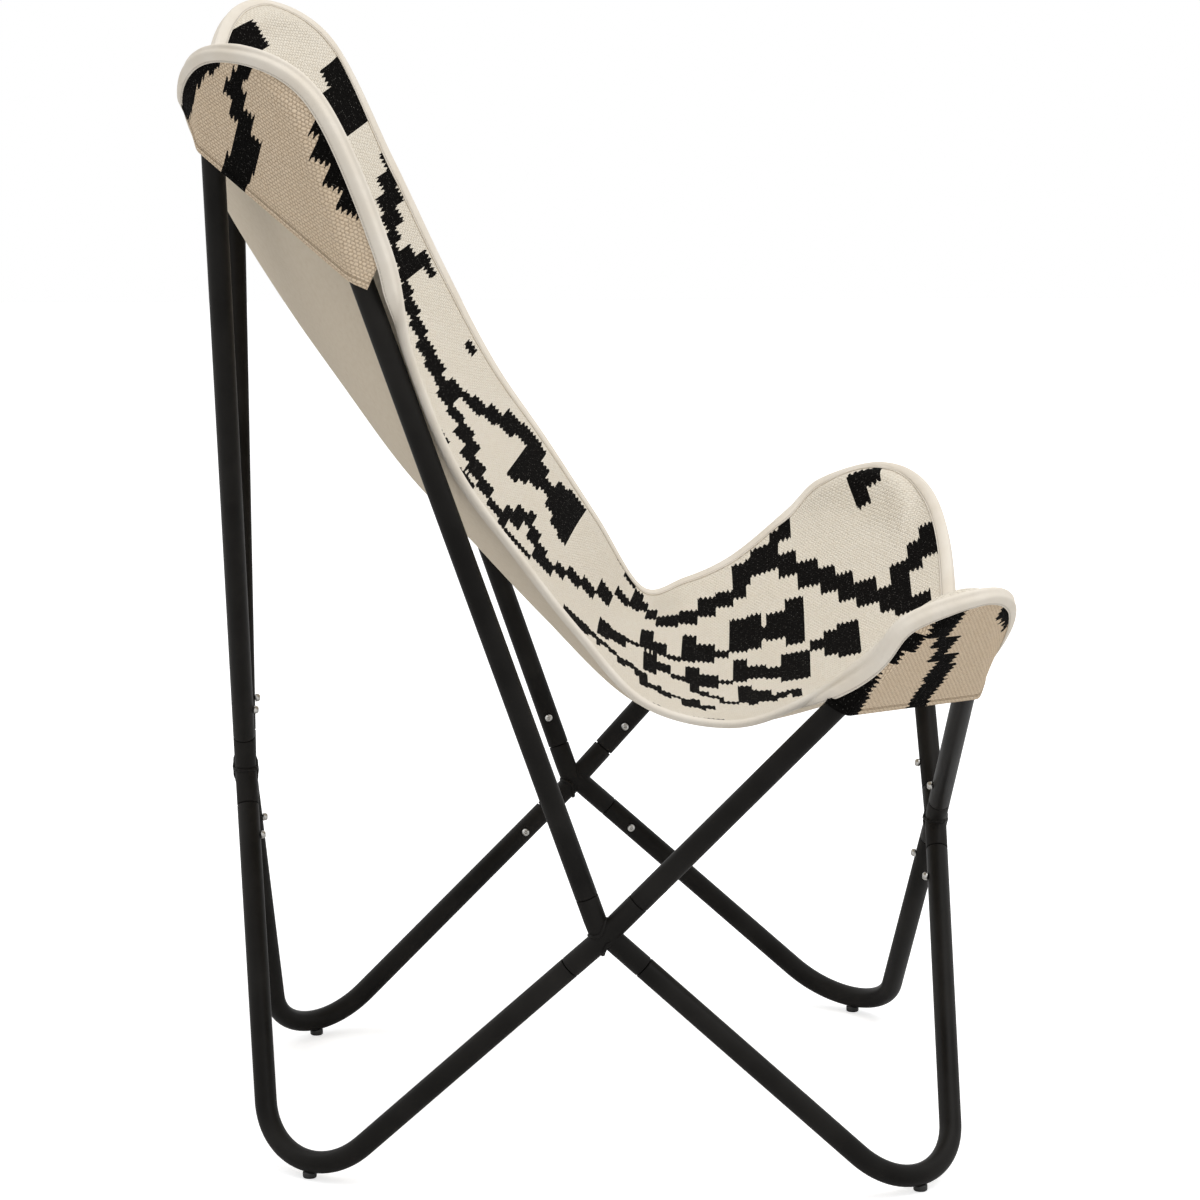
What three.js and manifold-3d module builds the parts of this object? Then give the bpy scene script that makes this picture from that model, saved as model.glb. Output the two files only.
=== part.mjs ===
// Butterfly sling chair: a knock-down frame of bent steel tube, and a woven sling hung from its four peaks.
// Millimetres, +Z up. The chair faces -Y, left is -X, and the floor is at Z = 0.
import * as THREE from 'three';
import { mergeVertices } from 'three/addons/utils/BufferGeometryUtils.js';
import Module from 'manifold-3d';

const wasm = await Module();
wasm.setup();

// Frame tube and its push-fit joints
const TUBE_DIAMETER = 19;
const TUBE_WALL = 1.4;
const SPIGOT_CLEARANCE = 0.4;
const SPIGOT_LENGTH = 45;
const SPIGOT_WALL = 1.4;
const JOINT_GAP = 1;
const WELD_BEAD_DIAMETER = 7;
const CUT_OVERRUN = 2;
const SEAT_GAP = 0.3;

// Peaks: where the centre lines of a peak's two legs would meet, and the radius of the bend between them
const BACK_PEAK_HALF_WIDTH = 363.5;
const BACK_PEAK_DEPTH = 327.5;
const BACK_PEAK_HEIGHT = 1131;
const BACK_PEAK_RADIUS = 58;
const FRONT_PEAK_HALF_WIDTH = 349.5;
const FRONT_PEAK_DEPTH = 304.5;
const FRONT_PEAK_HEIGHT = 561.5;
const FRONT_PEAK_RADIUS = 60;

// Feet: where the centre lines of a foot's two legs would meet seen from above, and the radius of the bend
const BACK_FOOT_HALF_WIDTH = 222;
const BACK_FOOT_DEPTH = 285;
const FRONT_FOOT_HALF_WIDTH = 300;
const FRONT_FOOT_DEPTH = 286.5;
const FOOT_RADIUS = 67.5;

// Crossings: each side has a bent tube from the back peak to the front foot and a straighter one across it
const SIDE_CROSSING_HALF_WIDTH = 287.5;
const SIDE_CROSSING_DEPTH = 13.5;
const SIDE_CROSSING_HEIGHT = 221;
const SIDE_BEND_RISE = 14.5;
const FRONT_CROSSING_DEPTH = 301.5;
const FRONT_CROSSING_HEIGHT = 255.5;
const BACK_CROSSING_DEPTH = 310;
const BACK_CROSSING_HEIGHT = 307;

// Length of each crossing's arms, from where its centre lines meet to the shoulder that the leg tube butts on
const SIDE_ARM_TO_BACK_PEAK = 27;
const SIDE_ARM_TO_FRONT_FOOT = 51;
const SIDE_ARM_TO_FRONT_PEAK = 49;
const SIDE_ARM_TO_BACK_FOOT = 31;
const FRONT_ARM = 32;
const BACK_ARM = 34;

// Screws, one at each joint, with their heads inside the chair
const SCREW_FROM_TUBE_END = 28;
const SCREW_SHANK_DIAMETER = 4;
const SCREW_SHANK_LENGTH = 8;
const SCREW_HEAD_DIAMETER = 7;
const SCREW_HEAD_HEIGHT = 4.2;
const SCREW_HEAD_CROWN = 1.2;
const SCREW_HOLE_CLEARANCE = 0.3;

// Glides, the plugs that the foot bends stand on
const GLIDE_DIAMETER = 12;
const GLIDE_HEIGHT = 5;
const GLIDE_ROUNDING = 1.5;
const GLIDE_STEM_DIAMETER = 5;
const GLIDE_STEM_LENGTH = 7;

// Sling: woven face and canvas back in one panel, with a pocket over each peak and a rolled binding
const SLING_DROP = 320;
const CLOTH_THICKNESS = 2.4;
const POCKET_THICKNESS = 2;
const BINDING_WIDTH = 11;
const EDGE_GAP = 1.3;
const SEAM_GAP = 0.9;
const BINDING_THICKNESS = 6.4;
const LOBE_MARGIN = 24;
const BACK_SHOULDER_LIFT = 10;
const FRONT_SHOULDER_LIFT = 6;
const CLOTH_ON_TUBE_CLEARANCE = 1.7;
const TENT_REACH = 150;
const WIDEST_MARGIN = 60;
const CLOSEST_FREE_RISE = 15;

// Pocket hems: how far below the lobe's tip they end, at the side edge and at the edge towards the other lobe
const BACK_HEM = { side: 165, centre: 62 };
const FRONT_HEM = { side: 70, centre: 135 };

// Faceting, in counts
const TUBE_SIDES = 16;
const BEND_STEPS = 8;
const BORE_SIDES = 12;
const HOLE_SIDES = 10;
const HEAD_SIDES = 10;
const GLIDE_SIDES = 16;
const BEAD_SIDES = 8;
const STEPS_PER_HALF_QUARTER = 12;
const CROWDING = 1.6;
const POCKET_STEPS = 8;
const POCKET_CROWDING = 1.2;
const RAY_SAMPLES = 160;
const RIM_NUDGE = Math.PI / 360;

// Derived sizes
const TUBE_RADIUS = TUBE_DIAMETER / 2;
const BORE_RADIUS = TUBE_RADIUS - TUBE_WALL;
const SPIGOT_RADIUS = BORE_RADIUS - SPIGOT_CLEARANCE;
const SPIGOT_BORE_RADIUS = SPIGOT_RADIUS - SPIGOT_WALL;
const DRAPE_RADIUS = TUBE_RADIUS + CLOTH_THICKNESS / 2 + CLOTH_ON_TUBE_CLEARANCE;
const pocketRadius = DRAPE_RADIUS + (POCKET_THICKNESS - CLOTH_THICKNESS) / 2;
const panelFlankShare = 0.6;
const pocketFlankShare = Math.SQRT1_2;
const panelFlank = DRAPE_RADIUS * panelFlankShare;
const panelEdge = BINDING_WIDTH + EDGE_GAP;
const SIDES = { left: -1, right: 1 };

const point = (x, y, z) => new THREE.Vector3(x, y, z);
const between = (from, to) => to.clone().sub(from).normalize();
const along = (from, direction, distance) => from.clone().addScaledVector(direction, distance);

// Materials
const { MeshStandardMaterial } = THREE;
const finish = (color, roughness, metalness) => new MeshStandardMaterial({ color, roughness, metalness });
const blackSteel = () => finish('#1d1c1a', 0.45, 0.4);
const zincSteel = () => finish('#a9a8a0', 0.35, 0.9);
const blackPlastic = () => finish('#151515', 0.6, 0);
const wovenCloth = () => finish('#ded6c8', 0.95, 0);
const canvasTape = () => finish('#e6dfd0', 0.9, 0);

// Solids: a geometry's shared vertices are merged before it is cut or joined
function toSolid(geometry) {
  const bare = geometry.clone();
  bare.deleteAttribute('normal');
  bare.deleteAttribute('uv');
  const merged = mergeVertices(bare.index ? bare.toNonIndexed() : bare);
  return new wasm.Manifold(new wasm.Mesh({
    numProp: 3,
    vertProperties: new Float32Array(merged.attributes.position.array),
    triVerts: new Uint32Array(merged.index.array),
  }));
}

function toGeometry(solid) {
  const mesh = solid.getMesh();
  const geometry = new THREE.BufferGeometry();
  geometry.setAttribute('position', new THREE.BufferAttribute(mesh.vertProperties, 3));
  geometry.setIndex(new THREE.BufferAttribute(mesh.triVerts, 1));
  return geometry;
}

const joined = (solids) => solids.reduce((whole, next) => whole.add(next));
const cut = (solid, tools) => tools.reduce((rest, tool) => rest.subtract(tool), solid);

function named(name, geometry, material) {
  geometry.computeVertexNormals();
  const mesh = new THREE.Mesh(geometry, material);
  mesh.name = name;
  return mesh;
}

// A round bar between two points
function rod(from, to, radius, sides) {
  const direction = between(from, to);
  const geometry = new THREE.CylinderGeometry(radius, radius, from.distanceTo(to), sides);
  geometry.applyQuaternion(new THREE.Quaternion().setFromUnitVectors(point(0, 1, 0), direction));
  const middle = from.clone().lerp(to, 0.5);
  geometry.translate(middle.x, middle.y, middle.z);
  return toSolid(geometry);
}

function ball(centre, radius) {
  const geometry = new THREE.SphereGeometry(radius, BEAD_SIDES, BEAD_SIDES / 2);
  geometry.translate(centre.x, centre.y, centre.z);
  return toSolid(geometry);
}

// Bends: the arc that joins two straight legs, with its plane's axes
function bendAt(corner, endA, endB, radius) {
  const legA = between(corner, endA);
  const legB = between(corner, endB);
  const half = legA.angleTo(legB) / 2;
  const inward = legA.clone().add(legB).normalize();
  const across = legA.clone().sub(legB).normalize();
  const centre = along(corner, inward, radius / Math.sin(half));
  const sweep = Math.PI / 2 - half;
  return { corner, legA, legB, half, inward, across, centre, radius, sweep };
}

// Point of a bend's arc at an angle from its apex, positive towards leg A, and at a distance from its centre
function onArc(bend, angle, distance = bend.radius) {
  const outward = along(bend.centre, bend.inward, -distance * Math.cos(angle));
  return outward.addScaledVector(bend.across, distance * Math.sin(angle));
}

// A curve known only at stations, where a tube that follows it has its rings
class StationRoute extends THREE.Curve {
  constructor(points, tangents) {
    super();
    this.points = points;
    this.tangents = tangents;
    this.steps = points.length - 1;
  }

  getPoint(t) {
    return this.points[Math.round(t * this.steps)].clone();
  }

  getPointAt(t) {
    return this.getPoint(t);
  }

  getTangentAt(t) {
    return this.tangents[Math.round(t * this.steps)].clone();
  }
}

// A leg, its bend and the other leg
function bentRoute(start, bend, finish) {
  const points = [start];
  const tangents = [bend.legA.clone().negate()];
  for (let i = 0; i <= BEND_STEPS; i += 1) {
    const angle = bend.sweep * (1 - (2 * i) / BEND_STEPS);
    points.push(onArc(bend, angle));
    const tangent = bend.across.clone().multiplyScalar(-Math.cos(angle));
    tangents.push(tangent.addScaledVector(bend.inward, -Math.sin(angle)));
  }
  points.push(finish);
  tangents.push(bend.legB.clone());
  return new StationRoute(points, tangents);
}

// Two straight runs that meet at a slight angle
function kinkedRoute(start, vertex, finish) {
  const before = between(start, vertex);
  const after = between(vertex, finish);
  const middle = before.clone().add(after).normalize();
  return new StationRoute([start, vertex, finish], [before, middle, after]);
}

function circlePoints(radius, sides) {
  return Array.from({ length: sides }, (_, i) => {
    const angle = (2 * Math.PI * i) / sides;
    return new THREE.Vector2(radius * Math.cos(angle), radius * Math.sin(angle));
  });
}

function tubeAlong(route, outerRadius, boreRadius) {
  const section = new THREE.Shape(circlePoints(outerRadius, TUBE_SIDES));
  if (boreRadius > 0) section.holes.push(new THREE.Path(circlePoints(boreRadius, TUBE_SIDES)));
  return toSolid(new THREE.ExtrudeGeometry(section, { steps: route.steps, extrudePath: route }));
}

// Frame layout: the crossings' centre points, and the corners of the peaks and the feet on each side
function frameCorners(side) {
  const sideStraight = point(side * SIDE_CROSSING_HALF_WIDTH, SIDE_CROSSING_DEPTH, SIDE_CROSSING_HEIGHT);
  return {
    sideStraight,
    sideBend: sideStraight.clone().add(point(0, 0, SIDE_BEND_RISE)),
    backPeak: point(side * BACK_PEAK_HALF_WIDTH, BACK_PEAK_DEPTH, BACK_PEAK_HEIGHT),
    frontPeak: point(side * FRONT_PEAK_HALF_WIDTH, -FRONT_PEAK_DEPTH, FRONT_PEAK_HEIGHT),
  };
}
const frontCrossing = point(0, -FRONT_CROSSING_DEPTH, FRONT_CROSSING_HEIGHT);
const backCrossing = point(0, BACK_CROSSING_DEPTH, BACK_CROSSING_HEIGHT);

// The lowest point of a bend's centre line lies where its tangent is level
function lowestAngle(bend) {
  return Math.atan2(-bend.across.z, bend.inward.z);
}

// A foot's corner is lowered or raised until its bend stands on a glide
function settledFoot(x, y, endA, endB) {
  const corner = point(x, y, 0);
  const rounds = 6;
  for (let i = 0; i < rounds; i += 1) {
    const bend = bendAt(corner, endA, endB, FOOT_RADIUS);
    corner.z += GLIDE_HEIGHT + TUBE_RADIUS - onArc(bend, lowestAngle(bend)).z;
  }
  return corner;
}

// One end of a leg tube: the arm that it slides on, and the inward direction that its screw points to
function tubeEnd(place, vertex, corner, armLength, inward) {
  const direction = between(vertex, corner);
  const facing = inward.clone().addScaledVector(direction, -inward.dot(direction)).normalize();
  const start = along(vertex, direction, armLength + JOINT_GAP);
  return { place, vertex, direction, armLength, facing, start };
}

const screwCentre = (end) => along(end.start, end.direction, SCREW_FROM_TUBE_END);

// Every leg tube of one side, as the corner that it bends round and its two ends
function legTubes(sideName) {
  const side = SIDES[sideName];
  const at = frameCorners(side);
  const towardsMiddle = point(-side, 0, 0);
  const forwards = point(0, -1, 0);
  const backwards = point(0, 1, 0);
  const backFoot = settledFoot(side * BACK_FOOT_HALF_WIDTH, BACK_FOOT_DEPTH, at.sideStraight, backCrossing);
  const frontFoot = settledFoot(side * FRONT_FOOT_HALF_WIDTH, -FRONT_FOOT_DEPTH, at.sideBend, frontCrossing);
  const leg = (name, corner, radius, vertex, armLength, centreVertex, centreArm, centrePlace, inward) => ({
    name: `${name}_${sideName}`,
    sideName,
    ends: [
      tubeEnd('side', vertex, corner, armLength, towardsMiddle),
      tubeEnd(centrePlace, centreVertex, corner, centreArm, inward),
    ],
    bend: bendAt(corner, vertex, centreVertex, radius),
  });
  return {
    peakBack: leg('peak_back', at.backPeak, BACK_PEAK_RADIUS, at.sideBend, SIDE_ARM_TO_BACK_PEAK,
      backCrossing, BACK_ARM, 'back', forwards),
    peakFront: leg('peak_front', at.frontPeak, FRONT_PEAK_RADIUS, at.sideStraight, SIDE_ARM_TO_FRONT_PEAK,
      frontCrossing, FRONT_ARM, 'front', backwards),
    footBack: leg('foot_back', backFoot, FOOT_RADIUS, at.sideStraight, SIDE_ARM_TO_BACK_FOOT,
      backCrossing, BACK_ARM, 'back', forwards),
    footFront: leg('foot_front', frontFoot, FOOT_RADIUS, at.sideBend, SIDE_ARM_TO_FRONT_FOOT,
      frontCrossing, FRONT_ARM, 'front', backwards),
  };
}

// A hole through one wall for a screw that comes from outside, as the tool that cuts it
function screwHole(end) {
  const centre = screwCentre(end);
  const mouth = along(centre, end.facing, TUBE_RADIUS + CUT_OVERRUN);
  return rod(centre, mouth, SCREW_SHANK_DIAMETER / 2 + SCREW_HOLE_CLEARANCE, HOLE_SIDES);
}

function bentLeg(leg, extraCuts) {
  const [first, second] = leg.ends;
  const tube = tubeAlong(bentRoute(first.start, leg.bend, second.start), TUBE_RADIUS, BORE_RADIUS);
  return named(leg.name, toGeometry(cut(tube, [...leg.ends.map(screwHole), ...extraCuts])), blackSteel());
}

// Crossings: four welded arms, each drawn down to a hollow spigot that slides into a leg tube
function weldBeads(ends) {
  const beads = [];
  for (const [i, end] of ends.entries()) {
    for (const other of ends.slice(i + 1)) {
      const half = end.direction.angleTo(other.direction) / 2;
      const bisector = end.direction.clone().add(other.direction).normalize();
      const middle = end.vertex.clone().lerp(other.vertex, 0.5);
      const reach = TUBE_RADIUS / Math.sin(half);
      if (half < Math.PI / 3) beads.push(ball(along(middle, bisector, reach), WELD_BEAD_DIAMETER / 2));
    }
  }
  return beads;
}

function crossing(name, runs) {
  const ends = runs.flat();
  const at = (end, distance) => along(end.vertex, end.direction, distance);
  const spigotTip = (end) => end.armLength + JOINT_GAP + SPIGOT_LENGTH;
  const arms = runs.map(([first, second]) => {
    const route = kinkedRoute(at(first, first.armLength), first.vertex, at(second, second.armLength));
    return tubeAlong(route, TUBE_RADIUS, 0);
  });
  const spigots = ends.map((end) => (
    rod(at(end, end.armLength / 2), at(end, spigotTip(end)), SPIGOT_RADIUS, TUBE_SIDES)));
  const bores = ends.map((end) => (
    rod(at(end, TUBE_DIAMETER), at(end, spigotTip(end) + CUT_OVERRUN), SPIGOT_BORE_RADIUS, BORE_SIDES)));
  const body = joined([...arms, ...spigots, ...weldBeads(ends)]);
  return named(name, toGeometry(cut(body, [...bores, ...ends.map(screwHole)])), blackSteel());
}

// Pan head screw, drawn along its axis from the shank's tip to the crown of the head
function screw(name, end) {
  const shankRadius = SCREW_SHANK_DIAMETER / 2;
  const headRadius = SCREW_HEAD_DIAMETER / 2;
  const crownShare = 0.6;
  const profile = [
    [0, -SCREW_SHANK_LENGTH],
    [shankRadius, -SCREW_SHANK_LENGTH],
    [shankRadius, 0],
    [headRadius, 0],
    [headRadius, SCREW_HEAD_HEIGHT - SCREW_HEAD_CROWN],
    [headRadius * crownShare, SCREW_HEAD_HEIGHT],
    [0, SCREW_HEAD_HEIGHT],
  ].map(([r, y]) => new THREE.Vector2(r, y));
  const geometry = new THREE.LatheGeometry(profile, HEAD_SIDES);
  const mesh = named(name, toGeometry(toSolid(geometry)), zincSteel());
  mesh.quaternion.setFromUnitVectors(point(0, 1, 0), end.facing);
  mesh.position.copy(along(screwCentre(end), end.facing, TUBE_RADIUS + SEAT_GAP));
  return mesh;
}

// Glide: a flat-bottomed button, hollowed on top to the bend that stands on it, with a stem in its hole
function glideAxis(leg) {
  return onArc(leg.bend, lowestAngle(leg.bend));
}

function glideHole(leg) {
  const centre = glideAxis(leg);
  return rod(point(centre.x, centre.y, 0), centre, GLIDE_STEM_DIAMETER / 2 + SEAT_GAP, HOLE_SIDES);
}

function glide(name, leg) {
  const centre = glideAxis(leg);
  const radius = GLIDE_DIAMETER / 2;
  const stemRadius = GLIDE_STEM_DIAMETER / 2;
  const shoulder = GLIDE_HEIGHT + TUBE_WALL;
  const stemTop = GLIDE_HEIGHT + GLIDE_STEM_LENGTH;
  const profile = [
    [0, 0],
    [radius - GLIDE_ROUNDING, 0],
    [radius, GLIDE_ROUNDING],
    [radius, shoulder],
    [stemRadius, shoulder],
    [stemRadius, stemTop],
    [0, stemTop],
  ].map(([r, y]) => new THREE.Vector2(r, y));
  const geometry = new THREE.LatheGeometry(profile, GLIDE_SIDES);
  geometry.rotateX(Math.PI / 2);
  geometry.translate(centre.x, centre.y, 0);
  const [first, second] = leg.ends;
  const route = bentRoute(first.start, leg.bend, second.start);
  const stem = rod(point(centre.x, centre.y, 0), centre, stemRadius, GLIDE_SIDES);
  const seat = tubeAlong(route, TUBE_RADIUS + SEAT_GAP, 0).subtract(stem);
  return named(name, toGeometry(toSolid(geometry).subtract(seat)), blackPlastic());
}

// Sling shape
// Each row of the cloth runs from one side edge to the other, as two cubic curves that meet at the middle.
// The stations run from the back to the front. A station's place is given by three shares: of the half width,
// of the way from the front peaks to the back peaks, and of the drop below the line between those peaks.
// The half width is a share of the distance from the middle to that line.
const slingWidthShare = 1.1146;
const leftEdgeShares = [
  [0.989, 0.804, 0.164], [0.963, 0.773, 0.396], [0.926, 0.711, 0.598], [0.877, 0.621, 0.714],
  [0.831, 0.537, 0.804], [0.803, 0.444, 0.863], [0.823, 0.326, 0.757], [0.886, 0.232, 0.569],
  [0.977, 0.136, 0.301],
];
const rightEdgeShares = [
  [0.989, 0.795, 0.128], [0.966, 0.711, 0.33], [0.931, 0.632, 0.494], [0.886, 0.551, 0.598],
  [0.84, 0.466, 0.715], [0.809, 0.391, 0.82], [0.829, 0.317, 0.698], [0.88, 0.236, 0.531],
  [0.963, 0.142, 0.285],
];
// The cloth's direction at the edge, as shares of the half width: inwards, backwards and up
const edgePullShares = [
  [-0.217, 0.206, 0.017], [-0.25, 0.21, -0.033], [-0.262, 0.216, -0.054], [-0.251, 0.182, -0.05],
  [-0.251, 0.126, -0.046], [-0.258, 0.068, -0.041], [-0.263, 0.027, -0.054], [-0.261, 0.008, -0.068],
  [-0.261, -0.005, -0.073], [-0.258, -0.022, -0.081], [-0.244, -0.076, -0.087], [-0.229, -0.157, -0.063],
  [-0.212, -0.231, 0.023],
];
// The middle line, where the first share is the half width of the row's flat middle
const middleShares = [
  [0.643, 1.081, 0.342], [0.543, 1.054, 0.475], [0.486, 0.956, 0.63], [0.457, 0.862, 0.733],
  [0.429, 0.783, 0.81], [0.4, 0.695, 0.867], [0.371, 0.597, 0.925], [0.371, 0.496, 0.955],
  [0.371, 0.382, 0.92], [0.371, 0.25, 0.774], [0.371, 0.109, 0.547], [0.371, -0.005, 0.343],
  [0.371, -0.079, 0.209],
];

// Angles round a peak's bend, from its tip towards the side leg, where the cloth's shoulder lies
const backShoulderAngle = Math.PI * 0.32;
const frontShoulderAngle = Math.PI * 0.25;

// A peak as the cloth meets it: the bend's plane, with a normal that points into the seat
function clothPeak(leg) {
  const normal = leg.bend.across.clone().cross(leg.bend.inward);
  if (normal.x * SIDES[leg.sideName] > 0) normal.negate();
  return { ...leg.bend, normal, reach: leg.ends[0].start.distanceTo(leg.bend.corner) };
}

const smoothCurve = (points) => new THREE.CatmullRomCurve3(points, false, 'catmullrom', 0.5);

function slingShape(peaks) {
  const backTip = onArc(peaks.right.back, 0);
  const frontTip = onArc(peaks.right.front, 0);
  const halfWidth = slingWidthShare * (frontTip.x + backTip.x) / 2;
  const station = ([width, way, drop]) => {
    const place = frontTip.clone().lerp(backTip, way);
    return point(width * slingWidthShare * place.x, place.y, place.z - SLING_DROP * drop);
  };
  const lobe = (peak, angle, lift) => along(onArc(peak, angle, peak.radius + LOBE_MARGIN), peak.normal, lift);
  const edgeCurve = (sideName, shares) => {
    const { back, front } = peaks[sideName];
    const mirror = point(SIDES[sideName], 1, 1);
    return smoothCurve([
      lobe(back, -backShoulderAngle, 0),
      lobe(back, 0, 0),
      lobe(back, backShoulderAngle, BACK_SHOULDER_LIFT),
      ...shares.map((share) => station(share).multiply(mirror)),
      lobe(front, frontShoulderAngle, FRONT_SHOULDER_LIFT),
      lobe(front, 0, 0),
      lobe(front, -frontShoulderAngle, 0),
    ]);
  };
  return {
    edges: { left: edgeCurve('left', leftEdgeShares), right: edgeCurve('right', rightEdgeShares) },
    pull: smoothCurve(edgePullShares.map((share) => point(...share).multiplyScalar(halfWidth))),
    middle: smoothCurve(middleShares.map(station)),
  };
}

// Point of the hanging cloth: down runs from 0 at the back to 1 at the front, across from -1 to 1.
// The edge curves have one station more at each end, so that they pass the tips in the lobes' direction.
function hangingPoint(shape, down, across) {
  const sideName = across < 0 ? 'left' : 'right';
  const side = SIDES[sideName];
  const t = 1 - Math.abs(across);
  const s = 1 - t;
  const spans = middleShares.length - 1;
  const edge = shape.edges[sideName].getPoint((1 + down * spans) / (2 + spans));
  const pull = shape.pull.getPoint(down);
  const middle = shape.middle.getPoint(down);
  const place = edge.clone().multiplyScalar(s * s * s);
  place.addScaledVector(edge.add(point(side * pull.x, pull.y, pull.z)), 3 * s * s * t);
  place.addScaledVector(point(side * middle.x, middle.y, middle.z), 3 * s * t * t);
  return place.addScaledVector(point(0, middle.y, middle.z), t * t * t);
}

// Where a place lies by a peak's tube: its rise over the bend's plane, and its distance from the tube's
// centre line in that plane, negative inside the bend
function byTube(peak, place) {
  const offset = place.clone().sub(peak.centre);
  const rise = offset.dot(peak.normal);
  const outward = -offset.dot(peak.inward);
  const across = offset.dot(peak.across);
  if (Math.abs(Math.atan2(across, outward)) <= peak.sweep) {
    return { rise, distance: Math.hypot(outward, across) - peak.radius };
  }
  const sideways = Math.abs(across) * Math.cos(peak.half) + outward * Math.sin(peak.half);
  return { rise, distance: sideways - peak.radius };
}

// The height that the cloth needs over a peak's plane: round the outside of the tube, and a slack tent inside
function neededRise(distance) {
  if (distance > DRAPE_RADIUS || distance < -TENT_REACH) return 0;
  if (distance > 0) return Math.sqrt(DRAPE_RADIUS ** 2 - distance ** 2);
  return DRAPE_RADIUS * (1 + distance / TENT_REACH);
}

function draped(allPeaks, place) {
  const lifted = place.clone();
  for (const peak of allPeaks) {
    if (lifted.distanceTo(peak.corner) > peak.reach) continue;
    const { rise, distance } = byTube(peak, lifted);
    const needed = neededRise(distance);
    if (needed > 0 && Math.abs(rise) < TENT_REACH && rise < needed) {
      lifted.addScaledVector(peak.normal, needed - rise);
    }
  }
  return lifted;
}

// The outline is a disc's rim stretched over the rows, so that it turns smoothly round the four lobes
function rowPlace(radius, angle) {
  const p = radius * Math.cos(angle);
  const q = radius * Math.sin(angle);
  const root = (value) => Math.sqrt(Math.max(value, 0));
  const twist = 2 * Math.SQRT2;
  const squares = p * p - q * q;
  const across = (root(2 + squares + twist * p) - root(2 + squares - twist * p)) / 2;
  const backwards = (root(2 - squares + twist * q) - root(2 - squares - twist * q)) / 2;
  const limited = (value) => Math.min(Math.max(value, -1), 1);
  return { across: limited(across), down: (1 - limited(backwards)) / 2 };
}

// A ray of the disc from the outline to the centre, as close places and their distance inside the outline
function rayTrack(shape, angle) {
  const track = [];
  let inside = 0;
  for (let i = 0; i <= RAY_SAMPLES; i += 1) {
    const { down, across } = rowPlace(1 - i / RAY_SAMPLES, angle);
    const place = hangingPoint(shape, down, across);
    if (i > 0) inside += place.distanceTo(track[i - 1].place);
    track.push({ place, inside });
  }
  return track;
}

function insideBy(track, distance) {
  const next = Math.max(track.findIndex((sample) => sample.inside >= distance), 1);
  const share = (distance - track[next - 1].inside) / (track[next].inside - track[next - 1].inside);
  return track[next - 1].place.clone().lerp(track[next].place, share);
}

const outlinePlace = (shape, angle) => {
  const { down, across } = rowPlace(1, angle);
  return hangingPoint(shape, down, across);
};

// The cloth's upward direction at the outline
function upAtOutline(shape, angle, track) {
  const ahead = outlinePlace(shape, angle + RIM_NUDGE);
  const behind = outlinePlace(shape, angle - RIM_NUDGE);
  return ahead.sub(behind).cross(insideBy(track, BINDING_WIDTH).sub(track[0].place)).normalize();
}

// The lobes in the order of the rim's quarters. The side edge lies ahead of or behind each lobe's tip.
const LOBES = [
  { sideName: 'right', end: 'back', towardsSide: -1 },
  { sideName: 'left', end: 'back', towardsSide: 1 },
  { sideName: 'left', end: 'front', towardsSide: -1 },
  { sideName: 'right', end: 'front', towardsSide: 1 },
];
const RIM_STEPS = 2 * STEPS_PER_HALF_QUARTER * LOBES.length;
const tipAngle = (lobeIndex) => (Math.PI / 4) * (1 + 2 * lobeIndex);

// Rim angles crowd together round the lobes
function rimAngle(index) {
  const quarter = Math.round(index / (2 * STEPS_PER_HALF_QUARTER));
  const offset = index / STEPS_PER_HALF_QUARTER - 2 * quarter;
  return tipAngle(quarter) + (Math.PI / 4) * Math.sign(offset) * Math.abs(offset) ** CROWDING;
}

function toIndexed(points, faces) {
  const geometry = new THREE.BufferGeometry();
  geometry.setAttribute('position', new THREE.Float32BufferAttribute(points.flatMap((p) => p.toArray()), 3));
  geometry.setIndex(faces.flat());
  return geometry;
}

// Two triangles for every step between two rows of point numbers
function band(first, second) {
  const faces = [];
  for (let i = 0; i + 1 < first.length; i += 1) {
    faces.push([first[i], first[i + 1], second[i + 1]], [first[i], second[i + 1], second[i]]);
  }
  return faces;
}

const looped = (row) => [...row, row[0]];

function vertexNormals(points, faces) {
  const geometry = toIndexed(points, faces);
  geometry.computeVertexNormals();
  const { normal } = geometry.attributes;
  return points.map((_, i) => new THREE.Vector3().fromBufferAttribute(normal, i));
}

// Edges that belong to one face only, in that face's direction
function openEdges(faces) {
  const edges = new Map();
  for (const [a, b, c] of faces) {
    for (const [from, to] of [[a, b], [b, c], [c, a]]) edges.set(`${from} ${to}`, [from, to]);
  }
  return [...edges.values()].filter(([from, to]) => !edges.has(`${to} ${from}`));
}

// A cloth given by its middle surface becomes a closed solid of the given thickness
function thickened(points, faces, thickness) {
  const normals = vertexNormals(points, faces);
  const count = points.length;
  const skins = [1, -1].flatMap((face) => points.map((p, i) => along(p, normals[i], (face * thickness) / 2)));
  const underside = faces.map(([a, b, c]) => [a + count, c + count, b + count]);
  const walls = openEdges(faces).flatMap(([a, b]) => [[b, a, a + count], [b, a + count, b + count]]);
  return toGeometry(toSolid(toIndexed(skins, [...faces, ...underside, ...walls])));
}

// The point of a peak's centre line nearest to a place, and the outward direction there in the bend's plane
function tubeStation(peak, place) {
  const { rise, distance } = byTube(peak, place);
  const level = along(place, peak.normal, -rise);
  const offset = level.clone().sub(peak.centre);
  const across = offset.dot(peak.across);
  let out = offset.normalize();
  if (Math.abs(out.angleTo(peak.inward.clone().negate())) > peak.sweep) {
    out = peak.inward.clone().multiplyScalar(-Math.sin(peak.half));
    out.addScaledVector(peak.across, Math.sign(across) * Math.cos(peak.half));
  }
  return { on: along(level, out, -distance), out };
}

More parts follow.
